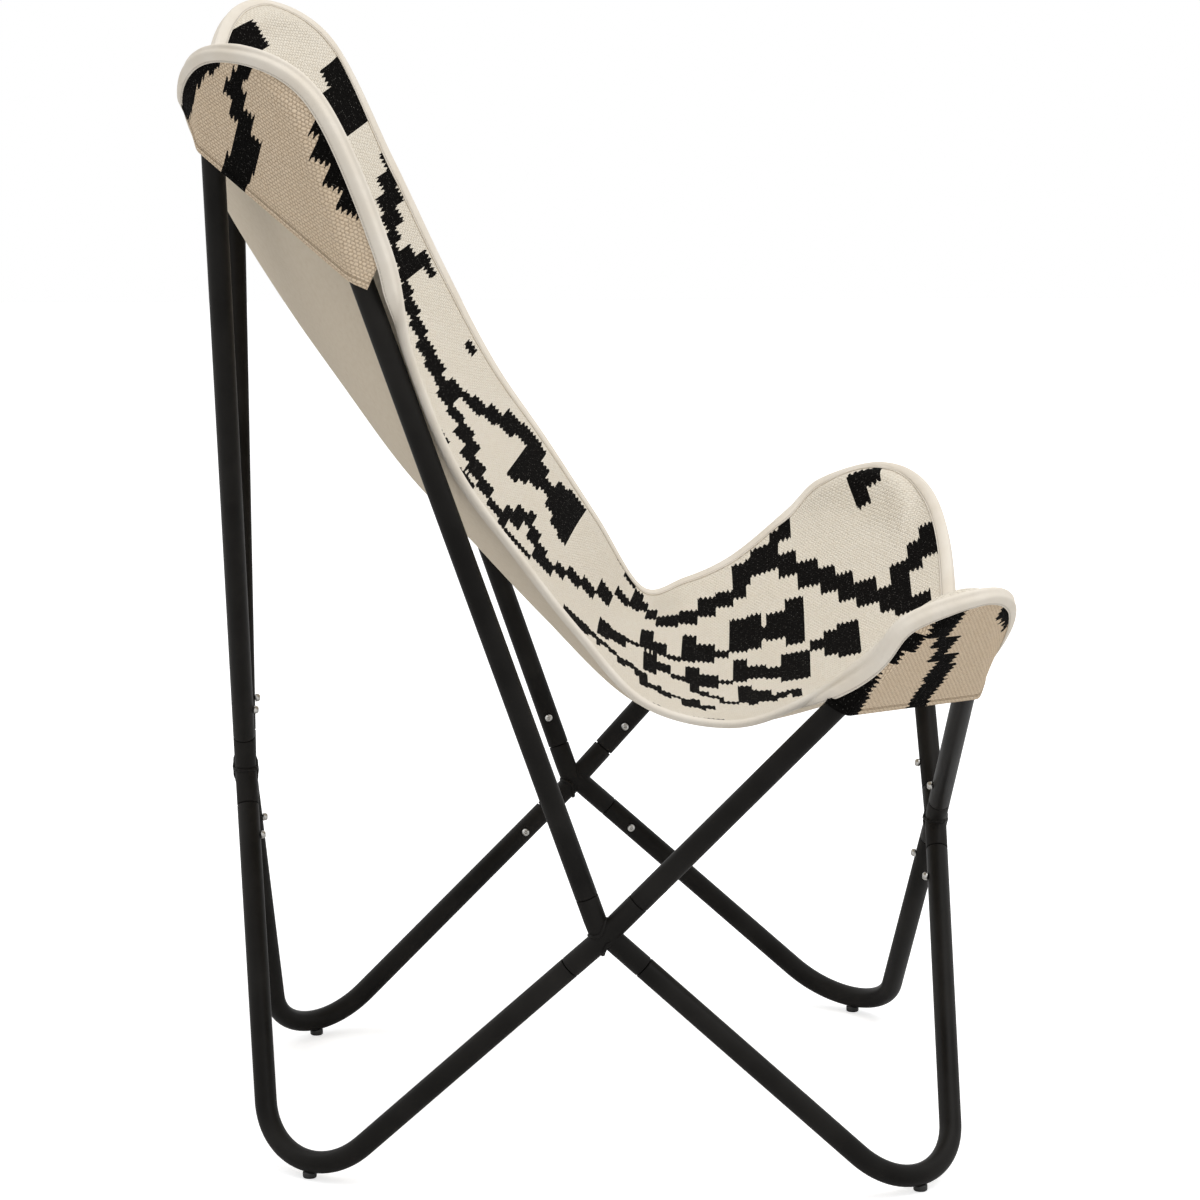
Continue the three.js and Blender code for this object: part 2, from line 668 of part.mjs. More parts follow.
// The peak whose tube the outline follows closely at a place, if there is one
function followedPeak(allPeaks, place) {
  return allPeaks.find((peak) => {
    const { rise, distance } = byTube(peak, place);
    const near = distance > panelEdge + panelFlank && distance < WIDEST_MARGIN;
    return near && Math.abs(rise) < CLOSEST_FREE_RISE && place.distanceTo(peak.corner) < peak.reach;
  });
}

// The hanging cloth's rise over a place in a peak's plane, found by steps from a nearby place on the cloth
function hangingRise(shape, peak, target, start) {
  const step = 0.001;
  const rounds = 5;
  let { down, across } = start;
  const missed = (place) => {
    const offset = place.clone().sub(target);
    return new THREE.Vector2(offset.dot(peak.inward), offset.dot(peak.across));
  };
  for (let i = 0; i < rounds; i += 1) {
    const here = missed(hangingPoint(shape, down, across));
    const downStep = down > 1 / 2 ? -step : step;
    const acrossStep = across > 0 ? -step : step;
    const byDown = missed(hangingPoint(shape, down + downStep, across)).sub(here);
    const byAcross = missed(hangingPoint(shape, down, across + acrossStep)).sub(here);
    const area = byDown.cross(byAcross);
    down = Math.min(Math.max(down - (downStep * here.cross(byAcross)) / area, 0), 1);
    across = Math.min(Math.max(across - (acrossStep * byDown.cross(here)) / area, -1), 1);
  }
  return byTube(peak, hangingPoint(shape, down, across)).rise;
}

// The panel: rings of points from the binding over the peaks' tubes, then a fan at the centre
const panelShares = [0.4, 0.72];
const nearRimShare = 0.9;

function panelRay(shape, allPeaks, angle) {
  const track = rayTrack(shape, angle);
  const total = track[track.length - 1].inside;
  const last = LOBE_MARGIN + TUBE_DIAMETER;
  const edge = draped(allPeaks, insideBy(track, panelEdge));
  const inner = panelShares.map((share) => draped(allPeaks, insideBy(track, last + (total - last) * share)));
  const peak = followedPeak(allPeaks, track[0].place);
  if (!peak) {
    const distances = [LOBE_MARGIN - panelFlank, LOBE_MARGIN, last];
    return [edge, ...distances.map((distance) => draped(allPeaks, insideBy(track, distance))), ...inner];
  }
  const { on, out } = tubeStation(peak, track[0].place);
  const overTube = [panelFlank, 0, -TUBE_DIAMETER].map((distance) => {
    const level = along(on, out, distance);
    const rise = hangingRise(shape, peak, level, rowPlace(nearRimShare, angle));
    return along(level, peak.normal, Math.max(rise, neededRise(distance)));
  });
  return [edge, ...overTube, ...inner];
}

function slingPanel(shape, allPeaks) {
  const rays = Array.from({ length: RIM_STEPS }, (_, i) => panelRay(shape, allPeaks, rimAngle(i)));
  const rings = rays[0].map((_, k) => rays.map((ray, i) => i + k * RIM_STEPS));
  const points = rays[0].flatMap((_, k) => rays.map((ray) => ray[k]));
  const hub = points.length;
  points.push(hangingPoint(shape, 0.5, 0));
  const faces = [];
  for (let k = 0; k + 1 < rings.length; k += 1) faces.push(...band(looped(rings[k]), looped(rings[k + 1])));
  const innermost = looped(rings[rings.length - 1]);
  for (let i = 0; i < RIM_STEPS; i += 1) faces.push([innermost[i], innermost[i + 1], hub]);
  return named('sling_panel', thickened(points, faces, CLOTH_THICKNESS), wovenCloth());
}

// The binding: a flattened roll round the whole outline, outside the panel's edge
const bindingSectionShares = [[0, 0], [0.35, 1], [1, 1], [1, -1], [0.35, -1]];

function binding(shape) {
  const loops = bindingSectionShares.map(() => []);
  for (let i = 0; i < RIM_STEPS; i += 1) {
    const track = rayTrack(shape, rimAngle(i));
    const outer = track[0].place;
    const inner = insideBy(track, BINDING_WIDTH);
    const up = upAtOutline(shape, rimAngle(i), track);
    bindingSectionShares.forEach(([inwards, upwards], k) => {
      loops[k].push(along(outer.clone().lerp(inner, inwards), up, (upwards * BINDING_THICKNESS) / 2));
    });
  }
  const numbered = loops.map((loop, k) => loop.map((_, i) => i + k * RIM_STEPS));
  const faces = numbered.flatMap((row, k) => band(looped(row), looped(numbered[(k + 1) % numbered.length])));
  return named('binding', toGeometry(toSolid(toIndexed(loops.flat(), faces))), canvasTape());
}

// The rim angle, on one side of a lobe's tip, at which the outline has dropped by the hem's distance
function hemAngle(shape, peak, fromAngle, direction, drop) {
  const tip = outlinePlace(shape, fromAngle);
  let angle = fromAngle;
  let fallen = 0;
  while (fallen < drop) {
    angle += direction * RIM_NUDGE;
    fallen = outlinePlace(shape, angle).sub(tip).dot(peak.inward);
  }
  return angle;
}

// A pocket: a second cloth outside the peak's tube, from under the binding down to a slanting hem.
// Its first place is under the binding, and the rest lie round the outside of the tube.
function pocketRay(shape, peak, angle) {
  const track = rayTrack(shape, angle);
  const up = upAtOutline(shape, angle, track);
  const underBinding = (BINDING_THICKNESS + POCKET_THICKNESS) / 2 + SEAM_GAP;
  const first = along(insideBy(track, BINDING_WIDTH / 2), up, -underBinding);
  const firstRise = byTube(peak, first).rise;
  const { on, out } = tubeStation(peak, first);
  const roundTube = [pocketRadius, pocketRadius * pocketFlankShare, 0, -TUBE_DIAMETER].map((distance) => {
    const depth = distance > 0 ? Math.sqrt(pocketRadius ** 2 - distance ** 2) : pocketRadius;
    return along(along(on, out, distance), peak.normal, Math.min(firstRise, -depth));
  });
  return [first, ...roundTube];
}

function pocket(shape, peak, lobeIndex) {
  const { sideName, end, towardsSide } = LOBES[lobeIndex];
  const hem = end === 'back' ? BACK_HEM : FRONT_HEM;
  const tip = tipAngle(lobeIndex);
  const sideEnd = hemAngle(shape, peak, tip, towardsSide, hem.side);
  const centreEnd = hemAngle(shape, peak, tip, -towardsSide, hem.centre);
  const rays = [];
  for (let i = -POCKET_STEPS; i <= POCKET_STEPS; i += 1) {
    const eased = (Math.abs(i) / POCKET_STEPS) ** POCKET_CROWDING;
    const reach = (i * towardsSide > 0 ? sideEnd : centreEnd) - tip;
    rays.push(pocketRay(shape, peak, tip + eased * reach));
  }
  const points = rays[0].flatMap((_, k) => rays.map((ray) => ray[k]));
  const rows = rays[0].map((_, k) => rays.map((ray, i) => i + k * rays.length));
  const faces = [];
  for (let k = 0; k + 1 < rows.length; k += 1) faces.push(...band(rows[k], rows[k + 1]));
  const inner = rows[rows.length - 1];
  const ahead = inner.slice(POCKET_STEPS);
  const behind = inner.slice(0, POCKET_STEPS + 1).reverse();
  faces.push([ahead[0], ahead[1], behind[1]]);
  faces.push(...band(ahead.slice(1), behind.slice(1)));
  return named(`pocket_${end}_${sideName}`, thickened(points, faces, POCKET_THICKNESS), wovenCloth());
}

// Assembly
const legs = { left: legTubes('left'), right: legTubes('right') };
const peaks = {
  left: { back: clothPeak(legs.left.peakBack), front: clothPeak(legs.left.peakFront) },
  right: { back: clothPeak(legs.right.peakBack), front: clothPeak(legs.right.peakFront) },
};
const allPeaks = [peaks.left.back, peaks.left.front, peaks.right.back, peaks.right.front];
const shape = slingShape(peaks);

const chair = new THREE.Group();
for (const [sideName, tubes] of Object.entries(legs)) {
  for (const leg of Object.values(tubes)) {
    const isFoot = leg.name.startsWith('foot');
    chair.add(bentLeg(leg, isFoot ? [glideHole(leg)] : []));
    if (isFoot) chair.add(glide(leg.name.replace('foot', 'glide'), leg));
    for (const end of leg.ends) chair.add(screw(`screw_${leg.name}_${end.place}`, end));
  }
}

// Each crossing joins two runs, and each run goes on from a peak's leg to a foot's leg
const sideRuns = (tubes) => [[tubes.peakBack, tubes.footFront], [tubes.peakFront, tubes.footBack]];
const backRuns = [[legs.left.peakBack, legs.right.footBack], [legs.right.peakBack, legs.left.footBack]];
const frontRuns = [[legs.left.peakFront, legs.right.footFront], [legs.right.peakFront, legs.left.footFront]];
const endsOf = (runs, which) => runs.map((run) => run.map((leg) => leg.ends[which]));
chair.add(crossing('crossing_left', endsOf(sideRuns(legs.left), 0)));
chair.add(crossing('crossing_right', endsOf(sideRuns(legs.right), 0)));
chair.add(crossing('crossing_back', endsOf(backRuns, 1)));
chair.add(crossing('crossing_front', endsOf(frontRuns, 1)));
chair.add(slingPanel(shape, allPeaks), binding(shape));
LOBES.forEach(({ sideName, end }, i) => chair.add(pocket(shape, peaks[sideName][end], i)));

// The origin lies on the floor under the middle of the chair's bounding box
const middle = new THREE.Box3().setFromObject(chair).getCenter(point(0, 0, 0));
chair.position.set(-middle.x, -middle.y, 0);

export default chair;
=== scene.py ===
"""Butterfly sling chair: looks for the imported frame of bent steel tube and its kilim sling.

Metres, +Z up. The chair faces -Y, left is -X, and the floor is at Z = 0.
"""

import math

import bmesh
import bpy
import numpy as np
from mathutils import Matrix, Vector
from numpy.polynomial import chebyshev


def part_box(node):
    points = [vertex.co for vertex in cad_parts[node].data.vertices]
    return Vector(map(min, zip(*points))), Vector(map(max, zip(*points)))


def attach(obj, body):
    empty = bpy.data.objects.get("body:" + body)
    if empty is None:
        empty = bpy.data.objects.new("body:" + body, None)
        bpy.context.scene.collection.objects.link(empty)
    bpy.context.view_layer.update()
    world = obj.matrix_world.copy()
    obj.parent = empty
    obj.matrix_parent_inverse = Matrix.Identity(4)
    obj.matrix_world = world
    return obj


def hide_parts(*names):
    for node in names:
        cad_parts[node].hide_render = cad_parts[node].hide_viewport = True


bl_info = {
    "name": "Butterfly sling chair",
    "version": (1, 0, 0),
    "blender": (4, 5, 0),
    "location": "View3D > Sidebar > Chair",
    "description": "Dresses a knock-down tube frame and hangs a kilim sling on its four peaks",
    "category": "Object",
}

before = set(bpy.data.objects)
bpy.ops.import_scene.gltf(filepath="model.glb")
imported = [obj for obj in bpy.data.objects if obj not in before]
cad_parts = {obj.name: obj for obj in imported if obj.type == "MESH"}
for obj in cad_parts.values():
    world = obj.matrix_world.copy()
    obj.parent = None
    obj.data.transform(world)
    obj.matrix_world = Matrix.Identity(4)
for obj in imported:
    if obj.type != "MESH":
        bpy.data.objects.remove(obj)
MM = 0.001
SIDES = {"left": -1.0, "right": 1.0}
ENDS = ("back", "front")

# Tube and joints
TUBE_RADIUS = 9.5 * MM
BORE_RADIUS = 8.1 * MM
SPIGOT_RADIUS = 7.7 * MM
SPIGOT_BORE_RADIUS = 6.3 * MM
SPIGOT_LENGTH = 45 * MM
JOINT_GAP = 1 * MM
EDGE_ROUNDING = 0.5 * MM
SPIGOT_MOUTH_DEPTH = 12 * MM
BEND_STEPS = 28
# How far from its bend a crossing's arm is straight again
ARM_STRAIGHT = 6 * MM
# The weld's bead, whose radius swells by a share of itself once in a wave of so many steps
WELD_RADIUS = 1.9 * MM
WELD_STEPS = 64
BEAD_SIDES = 8
BEAD_RIPPLE = 0.1
BEAD_WAVE = 4
MERGE_DISTANCE = 1e-6
# Two places this near each other count as one
SAME_PLACE = 0.5 * MM
# A rounded lip seen in section, as shares of its size: along the tube, and in from its outside
LIP_SHARES = (0.0, 0.3, 1.0)
LIP_DROP_SHARES = (1.0, 0.3, 0.0)

# Corners of the peaks and feet, where the centre lines of two legs would meet, and the bends' radii
BACK_PEAK = (363.5 * MM, 327.5 * MM, 1131 * MM)
FRONT_PEAK = (349.5 * MM, -304.5 * MM, 561.5 * MM)
BACK_PEAK_RADIUS = 58 * MM
FRONT_PEAK_RADIUS = 60 * MM
BACK_FOOT = (222 * MM, 285 * MM)
FRONT_FOOT = (300 * MM, -286.5 * MM)
FOOT_RADIUS = 67.5 * MM

# Crossings, and the length of their arms
SIDE_CROSSING = (287.5 * MM, 13.5 * MM, 221 * MM)
SIDE_BEND_RISE = 14.5 * MM
FRONT_CROSSING = (0, -301.5 * MM, 255.5 * MM)
BACK_CROSSING = (0, 310 * MM, 307 * MM)
ARM_TO_BACK_PEAK = 27 * MM
ARM_TO_FRONT_FOOT = 51 * MM
ARM_TO_FRONT_PEAK = 49 * MM
ARM_TO_BACK_FOOT = 31 * MM
FRONT_ARM = 32 * MM
BACK_ARM = 34 * MM

# Screws and glides
SCREW_FROM_TUBE_END = 28 * MM
SCREW_SIDES = 24
SEAT_GAP = 0.3 * MM
GLIDE_HEIGHT = 5 * MM
GLIDE_SIDES = 32
# Profiles as radius and height in millimetres; the second and third points of the screw are its socket
SCREW_PROFILE = (
    (0.0, 2.2), (1.25, 2.2), (1.3, 4.0), (1.7, 4.15), (2.4, 3.85), (3.0, 3.2), (3.4, 2.3), (3.5, 1.2),
    (3.5, 0.25), (3.3, 0.0), (2.0, 0.0), (2.0, -7.6), (1.7, -8.0), (0.0, -8.0),
)
SOCKET_ROWS = [1, 2]
GLIDE_PROFILE = (
    (0.0, 0.0), (4.3, 0.0), (5.2, 0.25), (5.8, 0.8), (6.0, 1.6), (6.0, 4.0), (5.9, 6.2), (4.0, 6.2),
    (0.0, 6.2),
)

# Cloth
SLING_WIDTH_SHARE = 1.1146
SLING_DROP = 320 * MM
LOBE_MARGIN = 24 * MM
TIP_DROP = {
    "left": {"back": 11 * MM, "front": 6.5 * MM},
    "right": {"back": 9 * MM, "front": 0.5 * MM},
}
BACK_SHOULDER_LIFT = 10 * MM
FRONT_SHOULDER_LIFT = 6 * MM
BACK_SHOULDER_ANGLE = math.pi * 0.32
FRONT_SHOULDER_ANGLE = math.pi * 0.25
DRAPE_RADIUS = 12.4 * MM
# How much the corner where cloth and tube meet is eased off. The lift over a tube starts at one needed
# height, and is whole a span above it.
DRAPE_EASE = 2.5 * MM
LIFT_START = 0.2 * MM
LIFT_SPAN = 4 * MM
TENT_REACH = 150 * MM
POCKET_RADIUS = 11.9 * MM
SKIN = 2.2 * MM
TAPE_WIDTH = 12 * MM
POCKET_TAPE_WIDTH = 13 * MM
# The flat width that the tape was cut to, with its turned-under edges
HEMS = {
    "back": {"side": 203 * MM, "centre": 68 * MM},
    "front": {"side": 113 * MM, "centre": 172 * MM},
}
# How far the sling and the pockets stop short of the outline, under the tape
SLING_EDGE_INSET = 4 * MM
POCKET_EDGE_INSET = 9 * MM
# A pocket's hem is folded double, and the fold thins out between two heights above it
HEM_FOLD = 0.9 * MM
HEM_FOLD_END = (5 * MM, 7 * MM)
# A pocket's cloth is thinner than the sling, and its grid finer: cells to either side, and up from the hem
POCKET_THICKNESS_SHARE = 0.8
POCKET_FINENESS = 2
POCKET_GRID = (80, 120)
# The outline round a lobe: disc angle to either side of its tip, and steps
LOBE_TURN = 0.78
LOBE_STEPS = 1200
# The binding lets go of a pocket from so far above its hem to so far below, and up to this angle past it
HEM_ABOVE = 6 * MM
HEM_BELOW = 12 * MM
HEM_TURN = 0.2
# Below, the binding widens from one inset on, goes over to the pocket between two, and sinks into it
WIDER_FROM = 3 * MM
ONTO_POCKET = (0.2 * MM, 4 * MM)
POCKET_SINK = 0.2 * MM
# Places of the outline for its length and for its flat shape
RIM_STEPS = 4321
FLAT_RIM_STEPS = 1440
# The cloth under the binding, in even steps from the outline, from disc radii that are denser near the rim
TRACK_STEP = 0.5 * MM
TRACK_COUNT = 30
TRACK_RADII = 1 - np.linspace(0, 1, 61) ** 1.4 * 0.22
# Flattening: half width and length of the first guess in metres, and the least weight of a triangle's side
FIRST_HALF_WIDTH = 0.36
FIRST_LENGTH = 1.25
LEAST_WEIGHT = 0.05
# Newton's steps back to the disc: how near the net point they start, their number, the longest, their limit
START_SHARE = 0.995
NEWTON_STEPS = 8
LONGEST_STEP = 0.08
DISC_LIMIT = 1.05

# Side edges of the sling from the back to the front, as shares of the half width, of the way from the
# front peaks to the back peaks, and of the drop below the line between those peaks
LEFT_EDGE = (
    (0.989, 0.804, 0.164), (0.963, 0.773, 0.396), (0.926, 0.711, 0.598), (0.877, 0.621, 0.714),
    (0.831, 0.537, 0.804), (0.803, 0.444, 0.863), (0.823, 0.326, 0.757), (0.886, 0.232, 0.569),
    (0.977, 0.136, 0.301),
)
RIGHT_EDGE = (
    (0.989, 0.795, 0.128), (0.966, 0.711, 0.33), (0.931, 0.632, 0.494), (0.886, 0.551, 0.598),
    (0.84, 0.466, 0.715), (0.809, 0.391, 0.82), (0.829, 0.317, 0.698), (0.88, 0.236, 0.531),
    (0.963, 0.142, 0.285),
)
# The cloth's direction at the edge, as shares of the half width: inwards, backwards and up
EDGE_PULL = (
    (-0.217, 0.206, 0.017), (-0.25, 0.21, -0.033), (-0.262, 0.216, -0.054), (-0.251, 0.182, -0.05),
    (-0.251, 0.126, -0.046), (-0.258, 0.068, -0.041), (-0.263, 0.027, -0.054), (-0.261, 0.008, -0.068),
    (-0.261, -0.005, -0.073), (-0.258, -0.022, -0.081), (-0.244, -0.076, -0.087), (-0.229, -0.157, -0.063),
    (-0.212, -0.231, 0.023),
)
# The right side's topmost rows lie flatter than the left's
RIGHT_PULL_SHARE = 0.7
# The middle line, where the first share is the half width of the row's flat middle
MIDDLE = (
    (0.643, 1.081, 0.342), (0.543, 1.054, 0.475), (0.486, 0.956, 0.63), (0.457, 0.862, 0.733),
    (0.429, 0.783, 0.81), (0.4, 0.695, 0.867), (0.371, 0.597, 0.925), (0.371, 0.496, 0.955),
    (0.371, 0.382, 0.92), (0.371, 0.25, 0.774), (0.371, 0.109, 0.547), (0.371, -0.005, 0.343),
    (0.371, -0.079, 0.209),
)


# ---------------------------------------------------------------- vectors and bends


def unit(v):
    """Each vector divided by its length."""
    v = np.asarray(v, float)
    return v / np.linalg.norm(v, axis=-1, keepdims=True)


def nearest(places, targets):
    """Each place's nearest target: its number, and how far away it is."""
    number, distance = [], []
    for part in np.array_split(places, max(len(places) // 3000, 1)):
        square = ((part[:, None] - targets[None]) ** 2).sum(-1)
        number.append(square.argmin(1))
        distance.append(np.sqrt(square.min(1)))
    return np.concatenate(number), np.concatenate(distance)


class Bend:
    """The arc that joins two straight legs: it touches both, with its centre on the line between them."""

    def __init__(self, corner, end_a, end_b, radius):
        self.corner = np.array(corner, float)
        self.leg_a = unit(np.subtract(end_a, corner))
        self.leg_b = unit(np.subtract(end_b, corner))
        self.half = math.acos(float(self.leg_a @ self.leg_b)) / 2
        self.inward = unit(self.leg_a + self.leg_b)
        self.across = unit(self.leg_a - self.leg_b)
        self.centre = self.corner + self.inward * radius / math.sin(self.half)
        self.radius = radius
        self.sweep = math.pi / 2 - self.half

    def on_arc(self, angle, distance=None):
        """Point at an angle from the apex, positive towards leg A: centre - inward cos + across sin."""
        distance = self.radius if distance is None else distance
        angle = np.asarray(angle, float)[..., None]
        out = self.across * np.sin(angle) - self.inward * np.cos(angle)
        return self.centre + out * distance

    def lowest(self):
        """Angle at which the arc's tangent is level."""
        return math.atan2(-self.across[2], self.inward[2])

    def locate(self, place):
        """A place's rise over the bend's plane, and its distance outside the tube's centre line there."""
        offset = place - self.centre
        outward = -(offset @ self.inward)
        across = offset @ self.across
        straight = np.abs(across) * math.cos(self.half) + outward * math.sin(self.half)
        on_bend = np.abs(np.arctan2(across, outward)) <= self.sweep
        return np.where(on_bend, np.hypot(outward, across), straight) - self.radius

    def station(self, place):
        """A place's direction out of the bend in its plane, and how far round from the apex it stands."""
        offset = place - self.centre
        across = offset @ self.across
        angle = np.arctan2(across, -(offset @ self.inward))
        held = np.clip(angle, -self.sweep, self.sweep)
        out = self.across * np.sin(held)[..., None] - self.inward * np.cos(held)[..., None]
        leg = np.where((across > 0)[..., None], self.leg_a, self.leg_b)
        beyond = np.where(np.abs(angle) > self.sweep, (offset * leg).sum(-1), 0)
        return out, self.radius * held + np.sign(across) * beyond


def route(start, bend, finish, steps):
    """Points of a leg, its arc and the other leg, with their tangents."""
    angles = np.linspace(bend.sweep, -bend.sweep, steps + 1)
    arc = bend.on_arc(angles)
    turning = -bend.across * np.cos(angles)[:, None] - bend.inward * np.sin(angles)[:, None]
    points = np.vstack([start, arc, finish])
    tangents = np.vstack([-bend.leg_a, turning, bend.leg_b])
    return points, tangents


# ---------------------------------------------------------------- the frame's layout


class TubeEnd:
    """Where a leg tube butts on a crossing's arm, and the inward direction its screw points to."""

    def __init__(self, place, vertex, corner, arm, inward):
        self.place = place
        self.vertex = np.array(vertex, float)
        self.direction = unit(np.subtract(corner, vertex))
        self.arm = arm
        inward = np.array(inward, float)
        self.facing = unit(inward - self.direction * (inward @ self.direction))
        self.start = self.vertex + self.direction * (arm + JOINT_GAP)


class Leg:
    """One bent tube with its two ends."""

    def __init__(self, name, corner, radius, ends):
        self.name = name
        self.ends = ends
        self.bend = Bend(corner, ends[0].vertex, ends[1].vertex, radius)


def settled_foot(x, y, end_a, end_b):
    """A foot's corner, moved up or down until its bend's lowest point stands on a glide."""
    corner = np.array((x, y, 0.0))
    for _ in range(6):
        bend = Bend(corner, end_a, end_b, FOOT_RADIUS)
        corner[2] += GLIDE_HEIGHT + TUBE_RADIUS - bend.on_arc(bend.lowest())[2]
    return corner


def legs_of(side_name):
    """The four leg tubes of one side of the chair."""
    side = SIDES[side_name]
    mirror = np.array((side, 1, 1))
    straight = np.array(SIDE_CROSSING) * mirror
    bent = straight + (0, 0, SIDE_BEND_RISE)
    to_middle, forwards, backwards = (-side, 0, 0), (0, -1, 0), (0, 1, 0)
    back_foot = settled_foot(side * BACK_FOOT[0], BACK_FOOT[1], straight, BACK_CROSSING)
    front_foot = settled_foot(side * FRONT_FOOT[0], FRONT_FOOT[1], bent, FRONT_CROSSING)

    def leg(name, corner, radius, vertex, arm, centre, centre_arm, centre_place, inward):
        ends = (
            TubeEnd("side", vertex, corner, arm, to_middle),
            TubeEnd(centre_place, centre, corner, centre_arm, inward),
        )
        return Leg(f"{name}_{side_name}", corner, radius, ends)

    back_peak = np.array(BACK_PEAK) * mirror
    front_peak = np.array(FRONT_PEAK) * mirror
    return {
        "peak_back": leg("peak_back", back_peak, BACK_PEAK_RADIUS, bent, ARM_TO_BACK_PEAK,
                         BACK_CROSSING, BACK_ARM, "back", forwards),
        "peak_front": leg("peak_front", front_peak, FRONT_PEAK_RADIUS, straight, ARM_TO_FRONT_PEAK,
                          FRONT_CROSSING, FRONT_ARM, "front", backwards),
        "foot_back": leg("foot_back", back_foot, FOOT_RADIUS, straight, ARM_TO_BACK_FOOT,
                         BACK_CROSSING, BACK_ARM, "back", forwards),
        "foot_front": leg("foot_front", front_foot, FOOT_RADIUS, bent, ARM_TO_FRONT_FOOT,
                          FRONT_CROSSING, FRONT_ARM, "front", backwards),
    }


LEGS = {side: legs_of(side) for side in SIDES}


def frame_shift():
    """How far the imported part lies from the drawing's axes, read from one glide's box."""
    low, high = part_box("glide_front_left")
    bend = LEGS["left"]["foot_front"].bend
    drawn = bend.on_arc(bend.lowest())
    return np.array(((low.x + high.x) / 2 - drawn[0], (low.y + high.y) / 2 - drawn[1], 0))


SHIFT = frame_shift()


def crossing_runs():
    """Each crossing's two runs, and each run as the two tube ends that its arms reach."""
    left, right = LEGS["left"], LEGS["right"]

    def side_runs(legs):
        pairs = (("peak_back", "foot_front"), ("peak_front", "foot_back"))
        return [[legs[a].ends[0], legs[b].ends[0]] for a, b in pairs]

    def middle_runs(end):
        return [
            [left[f"peak_{end}"].ends[1], right[f"foot_{end}"].ends[1]],
            [right[f"peak_{end}"].ends[1], left[f"foot_{end}"].ends[1]],
        ]

    return {
        "crossing_left": side_runs(left),
        "crossing_right": side_runs(right),
        "crossing_back": middle_runs("back"),
        "crossing_front": middle_runs("front"),
    }


# ---------------------------------------------------------------- meshes


def loop_faces(rows, columns, close_rows=False):
    """Quads of a grid of points numbered row by row, whose columns are closed on themselves."""
    i, j = np.meshgrid(np.arange(rows if close_rows else rows - 1), np.arange(columns), indexing="ij")
    ahead, beside = (i + 1) % rows, (j + 1) % columns
    quads = (i * columns + j, i * columns + beside, ahead * columns + beside, ahead * columns + j)
    return np.stack(quads, -1).reshape(-1, 4)


def make_mesh(name, points, faces, smooth=True):
    """A mesh object from points and quads in the drawing's axes; faces that repeat a corner are triangles."""
    mesh = bpy.data.meshes.new(name)
    corners = [list(dict.fromkeys(face)) for face in faces.tolist()]
    mesh.from_pydata(np.asarray(points + SHIFT).tolist(), [], corners)
    mesh.validate()
    mesh.polygons.foreach_set("use_smooth", np.full(len(mesh.polygons), smooth))
    mesh.update()
    piece = bpy.data.objects.new(name, mesh)
    bpy.context.scene.collection.objects.link(piece)
    return piece


def spokes(side, up, sides):
    """side cos + up sin at even angles, for each pair of axes."""
    angle = np.linspace(0, 2 * math.pi, sides, endpoint=False)
    return side[..., None, :] * np.cos(angle)[:, None] + up[..., None, :] * np.sin(angle)[:, None]


def swept(points, tangents, radii, seed, sides):
    """Rings of points, one round each centre: the axes are seed x tangent, and tangent x that."""
    side = unit(np.cross(seed, tangents))
    return points[:, None] + spokes(side, np.cross(tangents, side), sides) * np.asarray(radii)[:, None, None]


def ride(piece, slot_name, material, *nodes):
    """Puts a finished piece on the frame in place of its CAD nodes."""
    piece.data.materials.append(material)
    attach(piece, "root")
    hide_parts(*nodes)


def outwards(piece, merge=None):
    """Turns every face of a closed mesh to point out of it, and first merges points this close."""
    work = bmesh.new()
    work.from_mesh(piece.data)
    if merge is not None:
        bmesh.ops.remove_doubles(work, verts=work.verts, dist=merge)
    bmesh.ops.recalc_face_normals(work, faces=work.faces)
    work.to_mesh(piece.data)
    work.free()


def solid(name, grids, slot_name, material, node, merge=None):
    """A finished closed piece made of grids of points, each with its rows closed on themselves or not."""
    points, faces, count = [], [], 0
    for rings, closed in grids:
        points.append(rings.reshape(-1, 3))
        faces.append(loop_faces(*rings.shape[:2], close_rows=closed) + count)
        count += len(points[-1])
    piece = make_mesh(name, np.vstack(points), np.vstack(faces))
    outwards(piece, merge)
    piece.data.polygons.foreach_set("use_smooth", np.full(len(piece.data.polygons), True))
    ride(piece, slot_name, material, node)


# ---------------------------------------------------------------- materials

# Sizes on the flat cloth in metres: knots and how far they bend, the canvas's and the tape's threads, the
# stitch lines of the hems and the tape
KNOT_ALONG = 0.0037
KNOT_ACROSS = 0.0029
BEND_ALONG = 0.0026
BEND_ACROSS = 0.0022
CANVAS_THREADS = 0.0011
TAPE_THREADS = 0.0012
HEM_STITCH = 0.0052
TAPE_STITCH = 0.0013


def shade(colour, factors=(1.0, 1.0, 1.0)):
    """A colour with its three parts times three factors, and full alpha."""
    return tuple(c * f for c, f in zip(colour[:3], factors)) + (1.0,)


